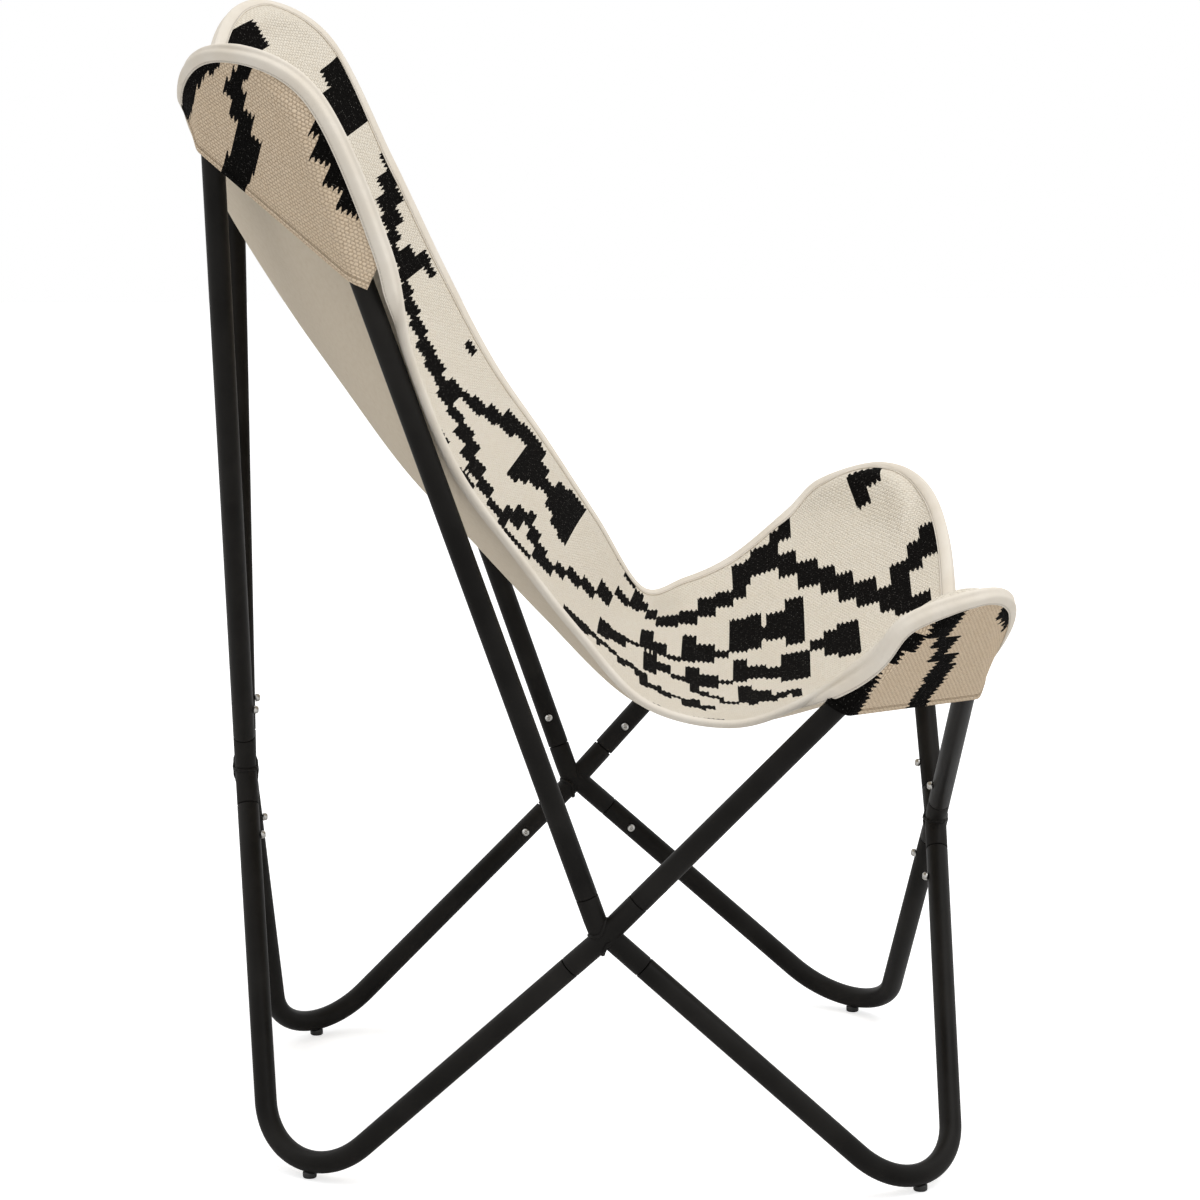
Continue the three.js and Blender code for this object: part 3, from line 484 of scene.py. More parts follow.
class Finish:
    """A material with its shader, and a short way to add nodes to it."""

    def __init__(self, name):
        self.material = bpy.data.materials.new(name)
        self.material.use_nodes = True
        self.tree = self.material.node_tree
        self.tree.nodes.clear()
        out = self.tree.nodes.new("ShaderNodeOutputMaterial")
        self.shader = self.tree.nodes.new("ShaderNodeBsdfPrincipled")
        self.tree.links.new(self.shader.outputs[0], out.inputs[0])

    def add(self, kind, *values, output=0, **settings):
        """Adds a node. values fill its inputs in order, None leaves one alone; returns its output socket."""
        made = self.tree.nodes.new("ShaderNode" + kind)
        for key, value in settings.items():
            setattr(made, key, value)
        for socket, value in zip(made.inputs, values):
            self.fill(socket, value)
        return made.outputs[output]

    def fill(self, socket, value):
        """Links a socket or sets its plain value."""
        if isinstance(value, bpy.types.NodeSocket):
            self.tree.links.new(value, socket)
        elif value is not None:
            socket.default_value = value

    def set(self, **values):
        """Fills the shader's inputs by name, with spaces written as underscores."""
        for key, value in values.items():
            self.fill(self.shader.inputs[key.replace("_", " ")], value)

    def math(self, operation, *values):
        return self.add("Math", *values, operation=operation)

    def times(self, first, second):
        return self.math("MULTIPLY", first, second)

    def total(self, first, *others):
        for other in others:
            first = self.math("ADD", first, other)
        return first

    def sine(self, value, half_wave):
        return self.math("SINE", self.times(value, math.pi / half_wave))

    def near(self, value, centre, inner, outer):
        """1 within inner of the centre, and 0 beyond outer."""
        off = self.math("ABSOLUTE", self.math("SUBTRACT", value, centre))
        return self.ranged(off, inner, outer, 1.0, 0.0)

    def attribute(self, name):
        made = self.tree.nodes.new("ShaderNodeAttribute")
        made.attribute_name = name
        return made.outputs["Fac"]

    def cloth_map(self):
        """The place on the flat cloth, and its two parts."""
        flat = self.add("UVMap", uv_map="flat")
        parts = self.tree.nodes.new("ShaderNodeSeparateXYZ")
        self.fill(parts.inputs[0], flat)
        return flat, parts.outputs[0], parts.outputs[1]

    def ranged(self, value, low, high, to_low, to_high):
        """Value mapped from one range to another and kept inside it."""
        return self.add("MapRange", value, low, high, to_low, to_high)

    def noise(self, coordinates, scale, detail=2.0, roughness=0.5):
        made = self.tree.nodes.new("ShaderNodeTexNoise")
        self.tree.links.new(coordinates, made.inputs["Vector"])
        for key, value in (("Scale", scale), ("Detail", detail), ("Roughness", roughness)):
            made.inputs[key].default_value = value
        return made.outputs["Fac"]

    def mixed(self, share, first, second):
        """Colour between two colours."""
        made = self.tree.nodes.new("ShaderNodeMix")
        made.data_type = "RGBA"
        self.fill(made.inputs[0], share)
        self.fill(made.inputs[6], first)
        self.fill(made.inputs[7], second)
        return made.outputs[2]

    def bumped(self, height, distance, strength=1.0):
        made = self.tree.nodes.new("ShaderNodeBump")
        self.fill(made.inputs["Height"], height)
        made.inputs["Distance"].default_value = distance
        made.inputs["Strength"].default_value = strength
        return made.outputs[0]


def object_coordinates(finish):
    return finish.add("TexCoord", output=3)


def powder_coat(colour):
    """Black powder coat: orange peel a millimetre across, slightly uneven gloss and a little dust."""
    finish = Finish("black_powder_coat")
    place = object_coordinates(finish)
    cloudy = finish.noise(place, 14.0, 3.0)
    peel = finish.noise(place, 900.0, 2.0)
    dust = finish.ranged(cloudy, 0.35, 0.75, 0.0, 1.0)
    worn = tuple(c * 1.9 + 0.004 for c in colour[:3]) + (1.0,)
    finish.set(
        Base_Color=finish.mixed(dust, shade(colour), worn),
        Roughness=finish.ranged(cloudy, 0.3, 0.7, 0.38, 0.5),
        Normal=finish.bumped(peel, 0.00012, 0.6),
        Specular_IOR_Level=0.08,
    )
    return finish.material


def zinc_plate():
    """Bright zinc: fine turning marks and slight clouding."""
    finish = Finish("zinc_plate")
    place = object_coordinates(finish)
    cloudy = finish.noise(place, 350.0, 2.0)
    finish.set(
        Base_Color=finish.mixed(cloudy, (0.42, 0.41, 0.39, 1), (0.66, 0.65, 0.62, 1)),
        Metallic=1.0,
        Roughness=finish.ranged(cloudy, 0.2, 0.8, 0.24, 0.4),
        Normal=finish.bumped(finish.noise(place, 2500.0), 0.00004, 0.5),
    )
    return finish.material


def moulded_plastic():
    """Black moulded plastic with a fine spark-eroded grain and scuffs."""
    finish = Finish("black_moulded_plastic")
    place = object_coordinates(finish)
    scuffs = finish.noise(place, 220.0, 4.0, 0.7)
    finish.set(
        Base_Color=finish.mixed(scuffs, (0.008, 0.008, 0.008, 1), (0.03, 0.029, 0.028, 1)),
        Roughness=finish.ranged(scuffs, 0.3, 0.7, 0.42, 0.62),
        Normal=finish.bumped(finish.noise(place, 1800.0), 0.00005, 0.5),
    )
    return finish.material


def knots(finish, flat, across, along):
    """Oval knots laid like bricks, bent by noise: 1 on a knot, 0 in the gaps round it.

    In a row, a knot is a half wave of a sine. Every second row is moved along by half a knot.
    """
    bend = finish.noise(flat, 240.0)
    across = finish.total(across, finish.times(bend, BEND_ACROSS))
    along = finish.total(along, finish.times(bend, BEND_ALONG))
    row = finish.sine(across, KNOT_ACROSS)
    moved = finish.times(finish.math("GREATER_THAN", row, 0.0), math.pi / 2)
    turn = finish.total(finish.times(along, math.pi / KNOT_ALONG), moved)
    return finish.math("SQRT", finish.math("ABSOLUTE", finish.times(finish.math("SINE", turn), row)))


def kilim(name, cream, black, tooth, gap, relief):
    """Weft-faced kilim: the motif's edges are cut by fine teeth, the yarn is knotted, uneven and fuzzy.

    gap is the strength of the painted shade in the gaps between knots, and relief is the gaps' depth in
    metres.
    """
    finish = Finish(name)
    flat, across, along = finish.cloth_map()
    wave = finish.math("PINGPONG", finish.total(along, 1.0), tooth / 2)
    teeth = finish.ranged(wave, 0.0, tooth / 2, -0.6, 0.6)
    grain = finish.noise(flat, 420.0, 1.0)
    ragged = finish.ranged(grain, 0.25, 0.75, -0.4, 0.4)
    edge = finish.total(finish.attribute("motif"), finish.total(teeth, ragged))
    inked = finish.ranged(edge, -0.08, 0.08, 0.0, 1.0)

    knot = knots(finish, flat, across, along)
    cloudy = finish.noise(flat, 26.0, 4.0, 0.6)
    slub = finish.noise(flat, 260.0)
    fuzz = finish.noise(flat, 2600.0)
    # The first colour is a darker, browner copy of the cream: painted shade for the gaps between knots and
    # the hem's stitch line. The second is a warm stain.
    painted_shade, warm = shade(cream, (0.5, 0.42, 0.34)), shade(cream, (0.93, 0.89, 0.83))
    # Painted shade in the gaps between knots, patchier where the yarn slubs; gap sets how deep it is.
    between = finish.ranged(knot, 0.1, 0.7, 1.0, 0.0)
    patchy_shade = finish.ranged(slub, 0.35, 0.65, gap * 0.35, gap)
    pale = finish.mixed(finish.times(between, patchy_shade), shade(cream), painted_shade)
    for unevenness, low, high, share in ((slub, 0.45, 0.75, 0.45), (cloudy, 0.4, 0.8, 0.4)):
        stained = finish.ranged(unevenness, low, high, 0.0, 1.0)
        pale = finish.mixed(finish.times(stained, share), pale, warm)
    gaps, grains = finish.ranged(knot, 0.05, 0.3, 0.6, 0.0), finish.ranged(grain, 0.56, 0.64, 0.0, 1.0)
    ink = finish.mixed(finish.times(gaps, grains), shade(black), (0.35, 0.33, 0.3, 1.0))

    # The hem's stitch line: a groove in the bump, and a colour darkened towards the browner cream, or half
    # the black in the motif, partly for its thread and partly as painted shade in the groove.
    stitch = finish.near(finish.attribute("seam"), HEM_STITCH, 0.0004, 0.0009)
    relief_parts = ((knot, 0.8), (fuzz, 0.2), (slub, 0.9), (cloudy, 2.2))
    height = finish.total(*(finish.times(part, depth) for part, depth in relief_parts))
    height = finish.math("SUBTRACT", height, finish.times(stitch, 1.2))
    stitch_shade = finish.mixed(inked, painted_shade, shade(black, (0.5, 0.5, 0.5)))
    finish.set(
        Base_Color=finish.mixed(finish.times(stitch, 0.4), finish.mixed(inked, pale, ink), stitch_shade),
        Roughness=finish.ranged(slub, 0.3, 0.7, 0.86, 0.98),
        Specular_IOR_Level=0.03,
        Normal=finish.bumped(height, relief, 0.9),
    )
    return finish.material


def canvas(colour):
    """Plain canvas: an over and under weave 1.1 mm across, with slubs and soft creases."""
    finish = Finish("canvas_back")
    flat, across, along = finish.cloth_map()
    weave = finish.times(finish.sine(across, CANVAS_THREADS / 2), finish.sine(along, CANVAS_THREADS / 2))
    slub = finish.noise(flat, 180.0, 3.0)
    creases = finish.times(finish.noise(flat, 9.0, 3.0), 3.0)
    # Painted shade: the colour darkens where the weave's threads lie low; slubs add uneven tone of their own.
    low_thread_shade = finish.ranged(weave, -1.0, 1.0, 0.25, 0.0)
    tone = finish.total(low_thread_shade, finish.ranged(slub, 0.4, 0.8, 0.0, 0.4))
    finish.set(
        Base_Color=finish.mixed(tone, shade(colour), shade(colour, (0.86, 0.82, 0.76))),
        Roughness=finish.ranged(slub, 0.3, 0.7, 0.85, 0.95),
        Specular_IOR_Level=0.2,
        Sheen_Weight=0.08,
        Normal=finish.bumped(finish.total(weave, creases), 0.00025, 0.6),
    )
    return finish.material


def tape(colour):
    """Smooth cotton tape: fine twill, puckers, stitches near its inner edge and slight soiling."""
    finish = Finish("canvas_tape")
    flat, along, inset = finish.cloth_map()
    twill = finish.sine(finish.total(along, inset), TAPE_THREADS / 2)
    cloudy = finish.noise(flat, 22.0, 3.0)
    on_line = finish.near(inset, TAPE_STITCH, 0.0003, 0.0006)
    pace = finish.math("PINGPONG", finish.total(along, 10.0), 0.0015)
    dash = finish.ranged(pace, 0.0002, 0.0004, 0.1, 0.5)
    soiled = finish.ranged(cloudy, 0.35, 0.75, 0.0, 0.8)
    base = finish.mixed(soiled, shade(colour), shade(colour, (0.9, 0.87, 0.82)))
    pucker = finish.noise(finish.add("Mapping", flat, None, None, (1.0, 0.25, 1.0)), 120.0)
    height = finish.math("SUBTRACT", finish.times(twill, 0.15), finish.times(on_line, 1.2))
    height = finish.total(height, finish.times(cloudy, 2.0), finish.times(pucker, 2.4))
    finish.set(
        Base_Color=finish.mixed(finish.times(on_line, dash), base, shade(colour, (0.62, 0.62, 0.62))),
        Roughness=finish.ranged(cloudy, 0.3, 0.7, 0.72, 0.86),
        Specular_IOR_Level=0.1,
        Normal=finish.bumped(height, 0.0004, 0.7),
    )
    return finish.material


# ---------------------------------------------------------------- frame pieces


def leg_tube(leg, sides, material):
    """A hollow bent tube: the outer wall along the route, a rounded lip, and the bore back again."""
    first, second = leg.ends
    points, tangents = route(first.start, leg.bend, second.start, BEND_STEPS)
    along, drop = np.array(LIP_SHARES) * EDGE_ROUNDING, np.array(LIP_DROP_SHARES) * EDGE_ROUNDING
    head = first.start + tangents[0] * along[:, None]
    tail = second.start - tangents[-1] * along[::-1][:, None]
    ends = len(along)
    outer_tangents = np.vstack([
        np.repeat(tangents[:1], ends, 0), tangents[1:-1], np.repeat(tangents[-1:], ends, 0),
    ])
    wall = np.full(len(points) - 2, TUBE_RADIUS)
    radii = np.concatenate([
        TUBE_RADIUS - drop, wall, TUBE_RADIUS - drop[::-1], np.full(len(points), BORE_RADIUS),
    ])
    centres = np.vstack([head, points[1:-1], tail, points[::-1]])
    directions = np.vstack([outer_tangents, tangents[::-1]])
    rings = swept(centres, directions, radii, np.cross(leg.bend.across, leg.bend.inward), sides)
    solid(f"{leg.name}_tube", [(rings, True)], "black_steel", material, leg.name)


def run_rings(run, sides):
    """One run of a crossing, closed at its tips: spigot, shoulder, arm, vertex, arm, shoulder, spigot."""
    first, second = run
    before, after = -first.direction, second.direction
    reach = JOINT_GAP + SPIGOT_LENGTH
    lip, mouth = EDGE_ROUNDING, reach - SPIGOT_MOUTH_DEPTH
    shoulder = [(-along * lip, TUBE_RADIUS - drop * lip) for along, drop in zip(LIP_SHARES, LIP_DROP_SHARES)]
    distance, radius = np.array([
        (mouth, 0.0), (mouth, SPIGOT_BORE_RADIUS), (reach, SPIGOT_BORE_RADIUS),
        (reach, SPIGOT_RADIUS - lip), (reach - lip, SPIGOT_RADIUS), (0.0, SPIGOT_RADIUS), *shoulder,
    ]).T
    head = first.vertex + first.direction * (first.arm + distance)[:, None]
    tail = second.vertex + second.direction * (second.arm + distance[::-1])[:, None]
    middle = unit(before + after)
    kink = np.vstack([
        first.vertex - before * ARM_STRAIGHT, first.vertex, second.vertex + after * ARM_STRAIGHT,
    ])
    centres = np.vstack([head, kink, tail])
    tangents = np.vstack([np.repeat(before[None], len(head) + 1, 0), middle[None],
                          np.repeat(after[None], len(tail) + 1, 0)])
    radii = np.concatenate([radius, np.full(len(kink), TUBE_RADIUS), radius[::-1]])
    seed = unit(np.cross(before, first.facing))
    return swept(centres, tangents, radii, seed, sides)


def weld_loops(run_a, run_b, steps):
    """Seam where two crossing bars of one radius R meet, their axes a distance d apart along n.

    A point of bar A at angle f round it has rise R cos f towards bar B. On bar B its angle g has
    cos g = (d - R cos f) / R, and the distance s along A solves the two places' equality across B.
    """
    a = unit(run_a[1].direction - run_a[0].direction)
    b = unit(run_b[1].direction - run_b[0].direction)
    gap = run_b[0].vertex - run_a[0].vertex
    normal = unit(np.cross(a, b))
    if gap @ normal < 0:
        normal = -normal
    d = float(abs(gap @ normal))
    across_a, across_b = np.cross(a, normal), np.cross(b, normal)
    limit = math.acos(max((d - TUBE_RADIUS) / TUBE_RADIUS, -1.0)) if d > SAME_PLACE else math.pi
    shift = (gap - normal * (gap @ normal)) @ across_b

    def seam(f, sign):
        cos_g = np.clip((d - TUBE_RADIUS * np.cos(f)) / TUBE_RADIUS, -1, 1)
        sin_g = sign * np.sqrt(1 - cos_g**2)
        s = shift + TUBE_RADIUS * sin_g - (across_a @ across_b) * TUBE_RADIUS * np.sin(f)
        s = s / (a @ across_b)
        flat = a * s[:, None] + across_a * (TUBE_RADIUS * np.sin(f))[:, None]
        return run_a[0].vertex + flat + normal * (TUBE_RADIUS * np.cos(f))[:, None]

    if d > SAME_PLACE:
        f = np.linspace(-limit, limit, steps // 2, endpoint=False)
        return [np.vstack([seam(f, 1.0), seam(-f, -1.0)])]
    f = np.linspace(-math.pi, math.pi, steps, endpoint=False)
    flip = np.sign(np.sin(f) + 1e-9)
    return [seam(f, flip), seam(f, -flip)]


def weld_bead(loop, sides):
    """A bead along a closed loop: its radius ripples as the torch's stops do."""
    tangents = unit(np.roll(loop, -1, 0) - np.roll(loop, 1, 0))
    ripple = 1 + BEAD_RIPPLE * np.sin(np.arange(len(loop)) * 2 * math.pi / BEAD_WAVE)
    outward = unit(loop - loop.mean(0))
    side = unit(outward - tangents * (outward * tangents).sum(1, keepdims=True))
    up = np.cross(tangents, side)
    return loop[:, None] + spokes(side, up, sides) * (WELD_RADIUS * ripple)[:, None, None]


def crossing(name, runs, sides, material):
    """Two bars through each other with a weld bead round their seam."""
    bars = [(run_rings(run, sides), False) for run in runs]
    beads = [(weld_bead(loop, BEAD_SIDES), True) for loop in weld_loops(*runs, WELD_STEPS)]
    solid(f"{name}_welded", bars + beads, "black_steel", material, name, MERGE_DISTANCE)


def turned(profile, axis, origin, sides, shape=None):
    """A profile of (radius, height) in mm carried round an axis; shape(radii, angle) changes the radii."""
    axis = unit(axis)
    seed = (0.0, 1.0, 0.0) if abs(axis[1]) < 0.9 else (1.0, 0.0, 0.0)
    side = unit(np.cross(seed, axis))
    radius, height = np.array(profile).T * MM
    radii = np.repeat(radius[:, None], sides, 1)
    if shape is not None:
        radii = shape(radii, np.linspace(0, 2 * math.pi, sides, endpoint=False))
    around = spokes(side, np.cross(axis, side), sides)
    return origin + around * radii[..., None] + axis * height[:, None, None]


def hexagonal(rows):
    """Rows of a turned profile that follow a hexagon: radius / cos of the angle to the nearest flat."""

    def shape(radii, angle):
        folded = np.mod(angle, math.pi / 3) - math.pi / 6
        radii = radii.copy()
        radii[rows] = radii[rows] / np.cos(folded)
        return radii

    return shape


def screw(end, name, material):
    """Button head screw with a hexagon socket, on a short shank."""
    centre = end.start + end.direction * SCREW_FROM_TUBE_END + end.facing * (TUBE_RADIUS + SEAT_GAP)
    rings = turned(SCREW_PROFILE, end.facing, centre, SCREW_SIDES, hexagonal(SOCKET_ROWS))
    solid(f"{name}_turned", [(rings, False)], "zinc_steel", material, name)


def glide(leg, name, material):
    """A button under the foot: rounded foot, and a top that follows the tube's underside."""
    centre = leg.bend.on_arc(leg.bend.lowest())
    run = unit(np.array((-leg.bend.across[1], leg.bend.across[0], 0)))
    rings = turned(GLIDE_PROFILE, (0, 0, 1), centre * (1, 1, 0), GLIDE_SIDES)
    offset = (rings[..., :2] - centre[:2]) @ run[:2]
    under = centre[2] - np.sqrt(np.maximum((TUBE_RADIUS + SEAT_GAP) ** 2 - offset**2, 0))
    rings[..., 2] = np.minimum(rings[..., 2], under)
    solid(f"{name}_button", [(rings, False)], "black_plastic", material, name)


# ---------------------------------------------------------------- the hanging cloth


def smooth_curve(points, t):
    """Curve through evenly spaced stations: cubic spans whose tangents are half the neighbours' distance."""
    points = np.asarray(points, float)
    last = len(points) - 1
    where = np.clip(np.asarray(t, float), 0, 1) * last
    index = np.minimum(where.astype(int), last - 1)
    w = (where - index)[..., None]
    padded = np.vstack([2 * points[0] - points[1], points, 2 * points[-1] - points[-2]])
    before, start, end, after = (padded[index + k] for k in range(4))
    leave, arrive = (end - before) / 2, (after - start) / 2
    square = -3 * start + 3 * end - 2 * leave - arrive
    cube = 2 * start - 2 * end + leave + arrive
    return start + w * (leave + w * (square + w * cube))


class ClothPeak(Bend):
    """A peak's bend with the normal of its plane, which points into the seat."""

    def __init__(self, leg, side):
        bend = leg.bend
        super().__init__(bend.corner, leg.ends[0].vertex, leg.ends[1].vertex, bend.radius)
        normal = np.cross(self.across, self.inward)
        self.normal = -normal if normal[0] * side > 0 else normal
        self.reach = float(np.linalg.norm(leg.ends[0].start - self.corner))


PEAKS = {
    side: {end: ClothPeak(LEGS[side][f"peak_{end}"], SIDES[side]) for end in ENDS} for side in SIDES
}
ALL_PEAKS = [PEAKS[side][end] for side in SIDES for end in ENDS]


def stations(shares):
    """Places given by shares of the half width, of the way to the back peaks, and of the drop."""
    shares = np.array(shares)
    front, back = PEAKS["right"]["front"].on_arc(0.0), PEAKS["right"]["back"].on_arc(0.0)
    x, y, z = (front + (back - front) * shares[:, 1:2]).T
    return np.stack([x * SLING_WIDTH_SHARE * shares[:, 0], y, z - SLING_DROP * shares[:, 2]], 1)


def edge_stations(side_name, shares):
    """A side edge's stations, with those round the two lobes at its ends."""
    peaks = PEAKS[side_name]

    def lobe(end, angle, lift):
        peak = peaks[end]
        return peak.on_arc(angle, peak.radius + LOBE_MARGIN) + peak.normal * lift

    side = stations(shares) * (SIDES[side_name], 1, 1)
    drop = TIP_DROP[side_name]
    back = [lobe("back", -BACK_SHOULDER_ANGLE, -drop["back"]), lobe("back", 0.0, -drop["back"]),
            lobe("back", BACK_SHOULDER_ANGLE, BACK_SHOULDER_LIFT)]
    front = [lobe("front", FRONT_SHOULDER_ANGLE, FRONT_SHOULDER_LIFT), lobe("front", 0.0, -drop["front"]),
             lobe("front", -FRONT_SHOULDER_ANGLE, -drop["front"])]
    return np.vstack([back, side, front])


EDGES = {"left": edge_stations("left", LEFT_EDGE), "right": edge_stations("right", RIGHT_EDGE)}
MIDDLE_STATIONS = stations(MIDDLE)
HALF_WIDTH = np.mean([peak.on_arc(0.0)[0] for peak in PEAKS["right"].values()])
PULL_STATIONS = np.array(EDGE_PULL) * SLING_WIDTH_SHARE * HALF_WIDTH


def hanging(down, across):
    """Point of the free cloth: each row is two cubic curves from the edges that meet at the middle.

    With t = 1 - |across| and s = 1 - t: edge s^3 + (edge + pull) 3 s^2 t + (side of the flat middle) 3 s t^2
    + (middle) t^3.
    """
    side = np.where(across < 0, -1.0, 1.0)
    t = 1 - np.abs(across)
    s = 1 - t
    spans = len(MIDDLE) - 1
    way = (1 + down * spans) / (2 + spans)
    edge = np.where((side < 0)[..., None], *(smooth_curve(EDGES[name], way) for name in SIDES))
    ease = np.where(side > 0, np.interp(down, (0, 0.2), (RIGHT_PULL_SHARE, 1.0)), 1.0)
    pull = smooth_curve(PULL_STATIONS, down) * np.stack([np.ones_like(ease), ease, np.ones_like(ease)], -1)
    middle = smooth_curve(MIDDLE_STATIONS, down)
    mirror = np.stack([side, np.ones_like(side), np.ones_like(side)], -1)
    inner = edge + pull * mirror
    flat = middle * mirror
    line = middle * (0, 1, 1)
    s, t = s[..., None], t[..., None]
    return edge * s**3 + inner * 3 * s**2 * t + flat * 3 * s * t**2 + line * t**3


def row_place(p, q):
    """Place in a disc turned into a row's place: the disc's rim is stretched over the rows' outline."""

    def root(value):
        return np.sqrt(np.maximum(value, 0))

    squares, twist = p * p - q * q, 2 * math.sqrt(2)
    across = (root(2 + squares + twist * p) - root(2 + squares - twist * p)) / 2
    backwards = (root(2 - squares + twist * q) - root(2 - squares - twist * q)) / 2
    return (1 - np.clip(backwards, -1, 1)) / 2, np.clip(across, -1, 1)


def free_cloth(p, q):
    """Point of the cloth before it is laid over the tubes, from a place in the disc."""
    return hanging(*row_place(p, q))


def needed_rise(distance):
    """Height over a peak's plane: a slack tent inside, round the tube's top, then a slope at 45 degrees."""
    flank = DRAPE_RADIUS * math.sqrt(0.5)
    tent = DRAPE_RADIUS * np.clip(1 + distance / TENT_REACH, 0, 1)
    round_top = np.sqrt(np.maximum(DRAPE_RADIUS**2 - distance**2, 0))
    slope = np.maximum(DRAPE_RADIUS * math.sqrt(2) - distance, 0)
    return np.where(distance < 0, tent, np.where(distance < flank, round_top, slope))


def draped(place):
    """The cloth lifted over each peak's tube; the larger of two heights, with the corner eased off."""
    for peak in ALL_PEAKS:
        distance = peak.locate(place)
        rise = (place - peak.centre) @ peak.normal
        needed = needed_rise(distance)
        near = (np.linalg.norm(place - peak.corner, axis=-1) < peak.reach) & (np.abs(rise) < TENT_REACH)
        short = needed - rise
        lift = (short + np.sqrt(short**2 + DRAPE_EASE**2)) / 2
        part = np.clip((needed - LIFT_START) / LIFT_SPAN, 0, 1)
        place = place + peak.normal * (np.where(near & (needed > 0), lift * part, 0))[..., None]
    return place


# ---------------------------------------------------------------- the flat cut


class Cut:
    """The sling's flat cut: each place in the disc has a place on the flat cloth, worked out once.

    A net of triangles on the free cloth is laid flat so that each triangle keeps its shape: every triangle
    is turned to fit its flat place best, then all points are moved to fit the turned triangles, by turns.
    """

    def __init__(self, rings=18, columns=72, degree=13, rounds=60):
        radius = np.linspace(0, 1, rings + 1)[1:]
        angle = np.linspace(0, 2 * math.pi, columns, endpoint=False)
        r, a = np.meshgrid(radius, angle, indexing="ij")
        p = np.concatenate([[0.0], (r * np.cos(a)).ravel()])
        q = np.concatenate([[0.0], (r * np.sin(a)).ravel()])
        quads = loop_faces(rings, columns) + 1
        inner = np.arange(columns)
        fan = np.stack([np.zeros(columns, int), 1 + inner, 1 + (inner + 1) % columns], 1)
        faces = np.vstack([fan, quads[:, [0, 2, 1]], quads[:, [0, 3, 2]]])
        down, across = row_place(p, q)
        start = np.stack([across * FIRST_HALF_WIDTH, (0.5 - down) * FIRST_LENGTH], 1)
        flat = laid_flat(hanging(down, across), faces, start, rounds)
        basis = chebyshev.chebvander2d(p, q, [degree, degree])
        keep = (np.add.outer(np.arange(degree + 1), np.arange(degree + 1)) <= degree).ravel()
        weights = np.zeros((basis.shape[1], 2))
        weights[keep] = np.linalg.lstsq(basis[:, keep], flat, rcond=None)[0]
        self.weights = weights.reshape(degree + 1, degree + 1, 2)
        self.net = (p, q, flat)

    def flat_of(self, p, q):
        """Place on the flat cloth of a place in the disc, and its two slopes."""
        w = self.weights

        def value(c, u, v):
            return chebyshev.chebval2d(u, v, c)

        slopes_p, slopes_q = chebyshev.chebder(w, axis=0), chebyshev.chebder(w, axis=1)
        return (np.stack([value(w[..., k], p, q) for k in (0, 1)], -1),
                np.stack([value(slopes_p[..., k], p, q) for k in (0, 1)], -1),
                np.stack([value(slopes_q[..., k], p, q) for k in (0, 1)], -1))

    def disc_of(self, flat):
        """Place in the disc of a place on the flat cloth: the nearest net point, then Newton's steps."""
        p0, q0, net = self.net
        number, _ = nearest(flat, net)
        p, q = p0[number] * START_SHARE, q0[number] * START_SHARE
        for _ in range(NEWTON_STEPS):
            here, by_p, by_q = self.flat_of(p, q)
            miss = flat - here
            area = by_p[:, 0] * by_q[:, 1] - by_p[:, 1] * by_q[:, 0]
            step_p = (miss[:, 0] * by_q[:, 1] - miss[:, 1] * by_q[:, 0]) / area
            step_q = (by_p[:, 0] * miss[:, 1] - by_p[:, 1] * miss[:, 0]) / area
            p = np.clip(p + np.clip(step_p, -LONGEST_STEP, LONGEST_STEP), -DISC_LIMIT, DISC_LIMIT)
            q = np.clip(q + np.clip(step_q, -LONGEST_STEP, LONGEST_STEP), -DISC_LIMIT, DISC_LIMIT)
        return p, q


def laid_flat(points, faces, start, rounds):
    """Flat places of a net's points, found by turns of fitting triangles and moving points."""
    count = len(points)
    corners = points[faces]
    first = corners[:, 1] - corners[:, 0]
    second = corners[:, 2] - corners[:, 0]
    length = np.linalg.norm(first, axis=1)
    x = (first * second).sum(1) / length
    y = np.linalg.norm(np.cross(first, second), axis=1) / length
    zero = np.zeros(len(faces))
    shape = np.stack([np.stack([zero, zero], 1), np.stack([length, zero], 1), np.stack([x, y], 1)], 1)
    pairs = ((0, 1, 2), (1, 2, 0), (2, 0, 1))
    weight = []
    for i, j, k in pairs:
        u, v = shape[:, i] - shape[:, k], shape[:, j] - shape[:, k]
        cross = u[:, 0] * v[:, 1] - u[:, 1] * v[:, 0]
        weight.append(np.maximum((u * v).sum(1) / np.abs(cross), LEAST_WEIGHT))
    system = np.zeros((count, count))
    for (i, j, _), w in zip(pairs, weight):
        a, b = faces[:, i], faces[:, j]
        for row, column, sign in ((a, a, 1), (b, b, 1), (a, b, -1), (b, a, -1)):
            np.add.at(system, (row, column), sign * w)
    system[0, 0] += 1.0
    inverse = np.linalg.inv(system)
    flat = start.copy()
    for _ in range(rounds):
        spread = np.zeros((len(faces), 2, 2))
        for (i, j, _), w in zip(pairs, weight):
            now = flat[faces[:, i]] - flat[faces[:, j]]
            own = shape[:, i] - shape[:, j]
            spread += w[:, None, None] * now[:, :, None] * own[:, None, :]
        turn = np.arctan2(spread[:, 1, 0] - spread[:, 0, 1], spread[:, 0, 0] + spread[:, 1, 1])
        c, s = np.cos(turn), np.sin(turn)
        target = np.zeros((count, 2))
        for (i, j, _), w in zip(pairs, weight):
            own = shape[:, i] - shape[:, j]
            turned_own = np.stack([c * own[:, 0] - s * own[:, 1], s * own[:, 0] + c * own[:, 1]], 1)
            turned_own = turned_own * w[:, None]
            np.add.at(target, faces[:, i], turned_own)
            np.add.at(target, faces[:, j], -turned_own)
        flat = inverse @ target
    return flat


# ---------------------------------------------------------------- the outline, pockets and binding


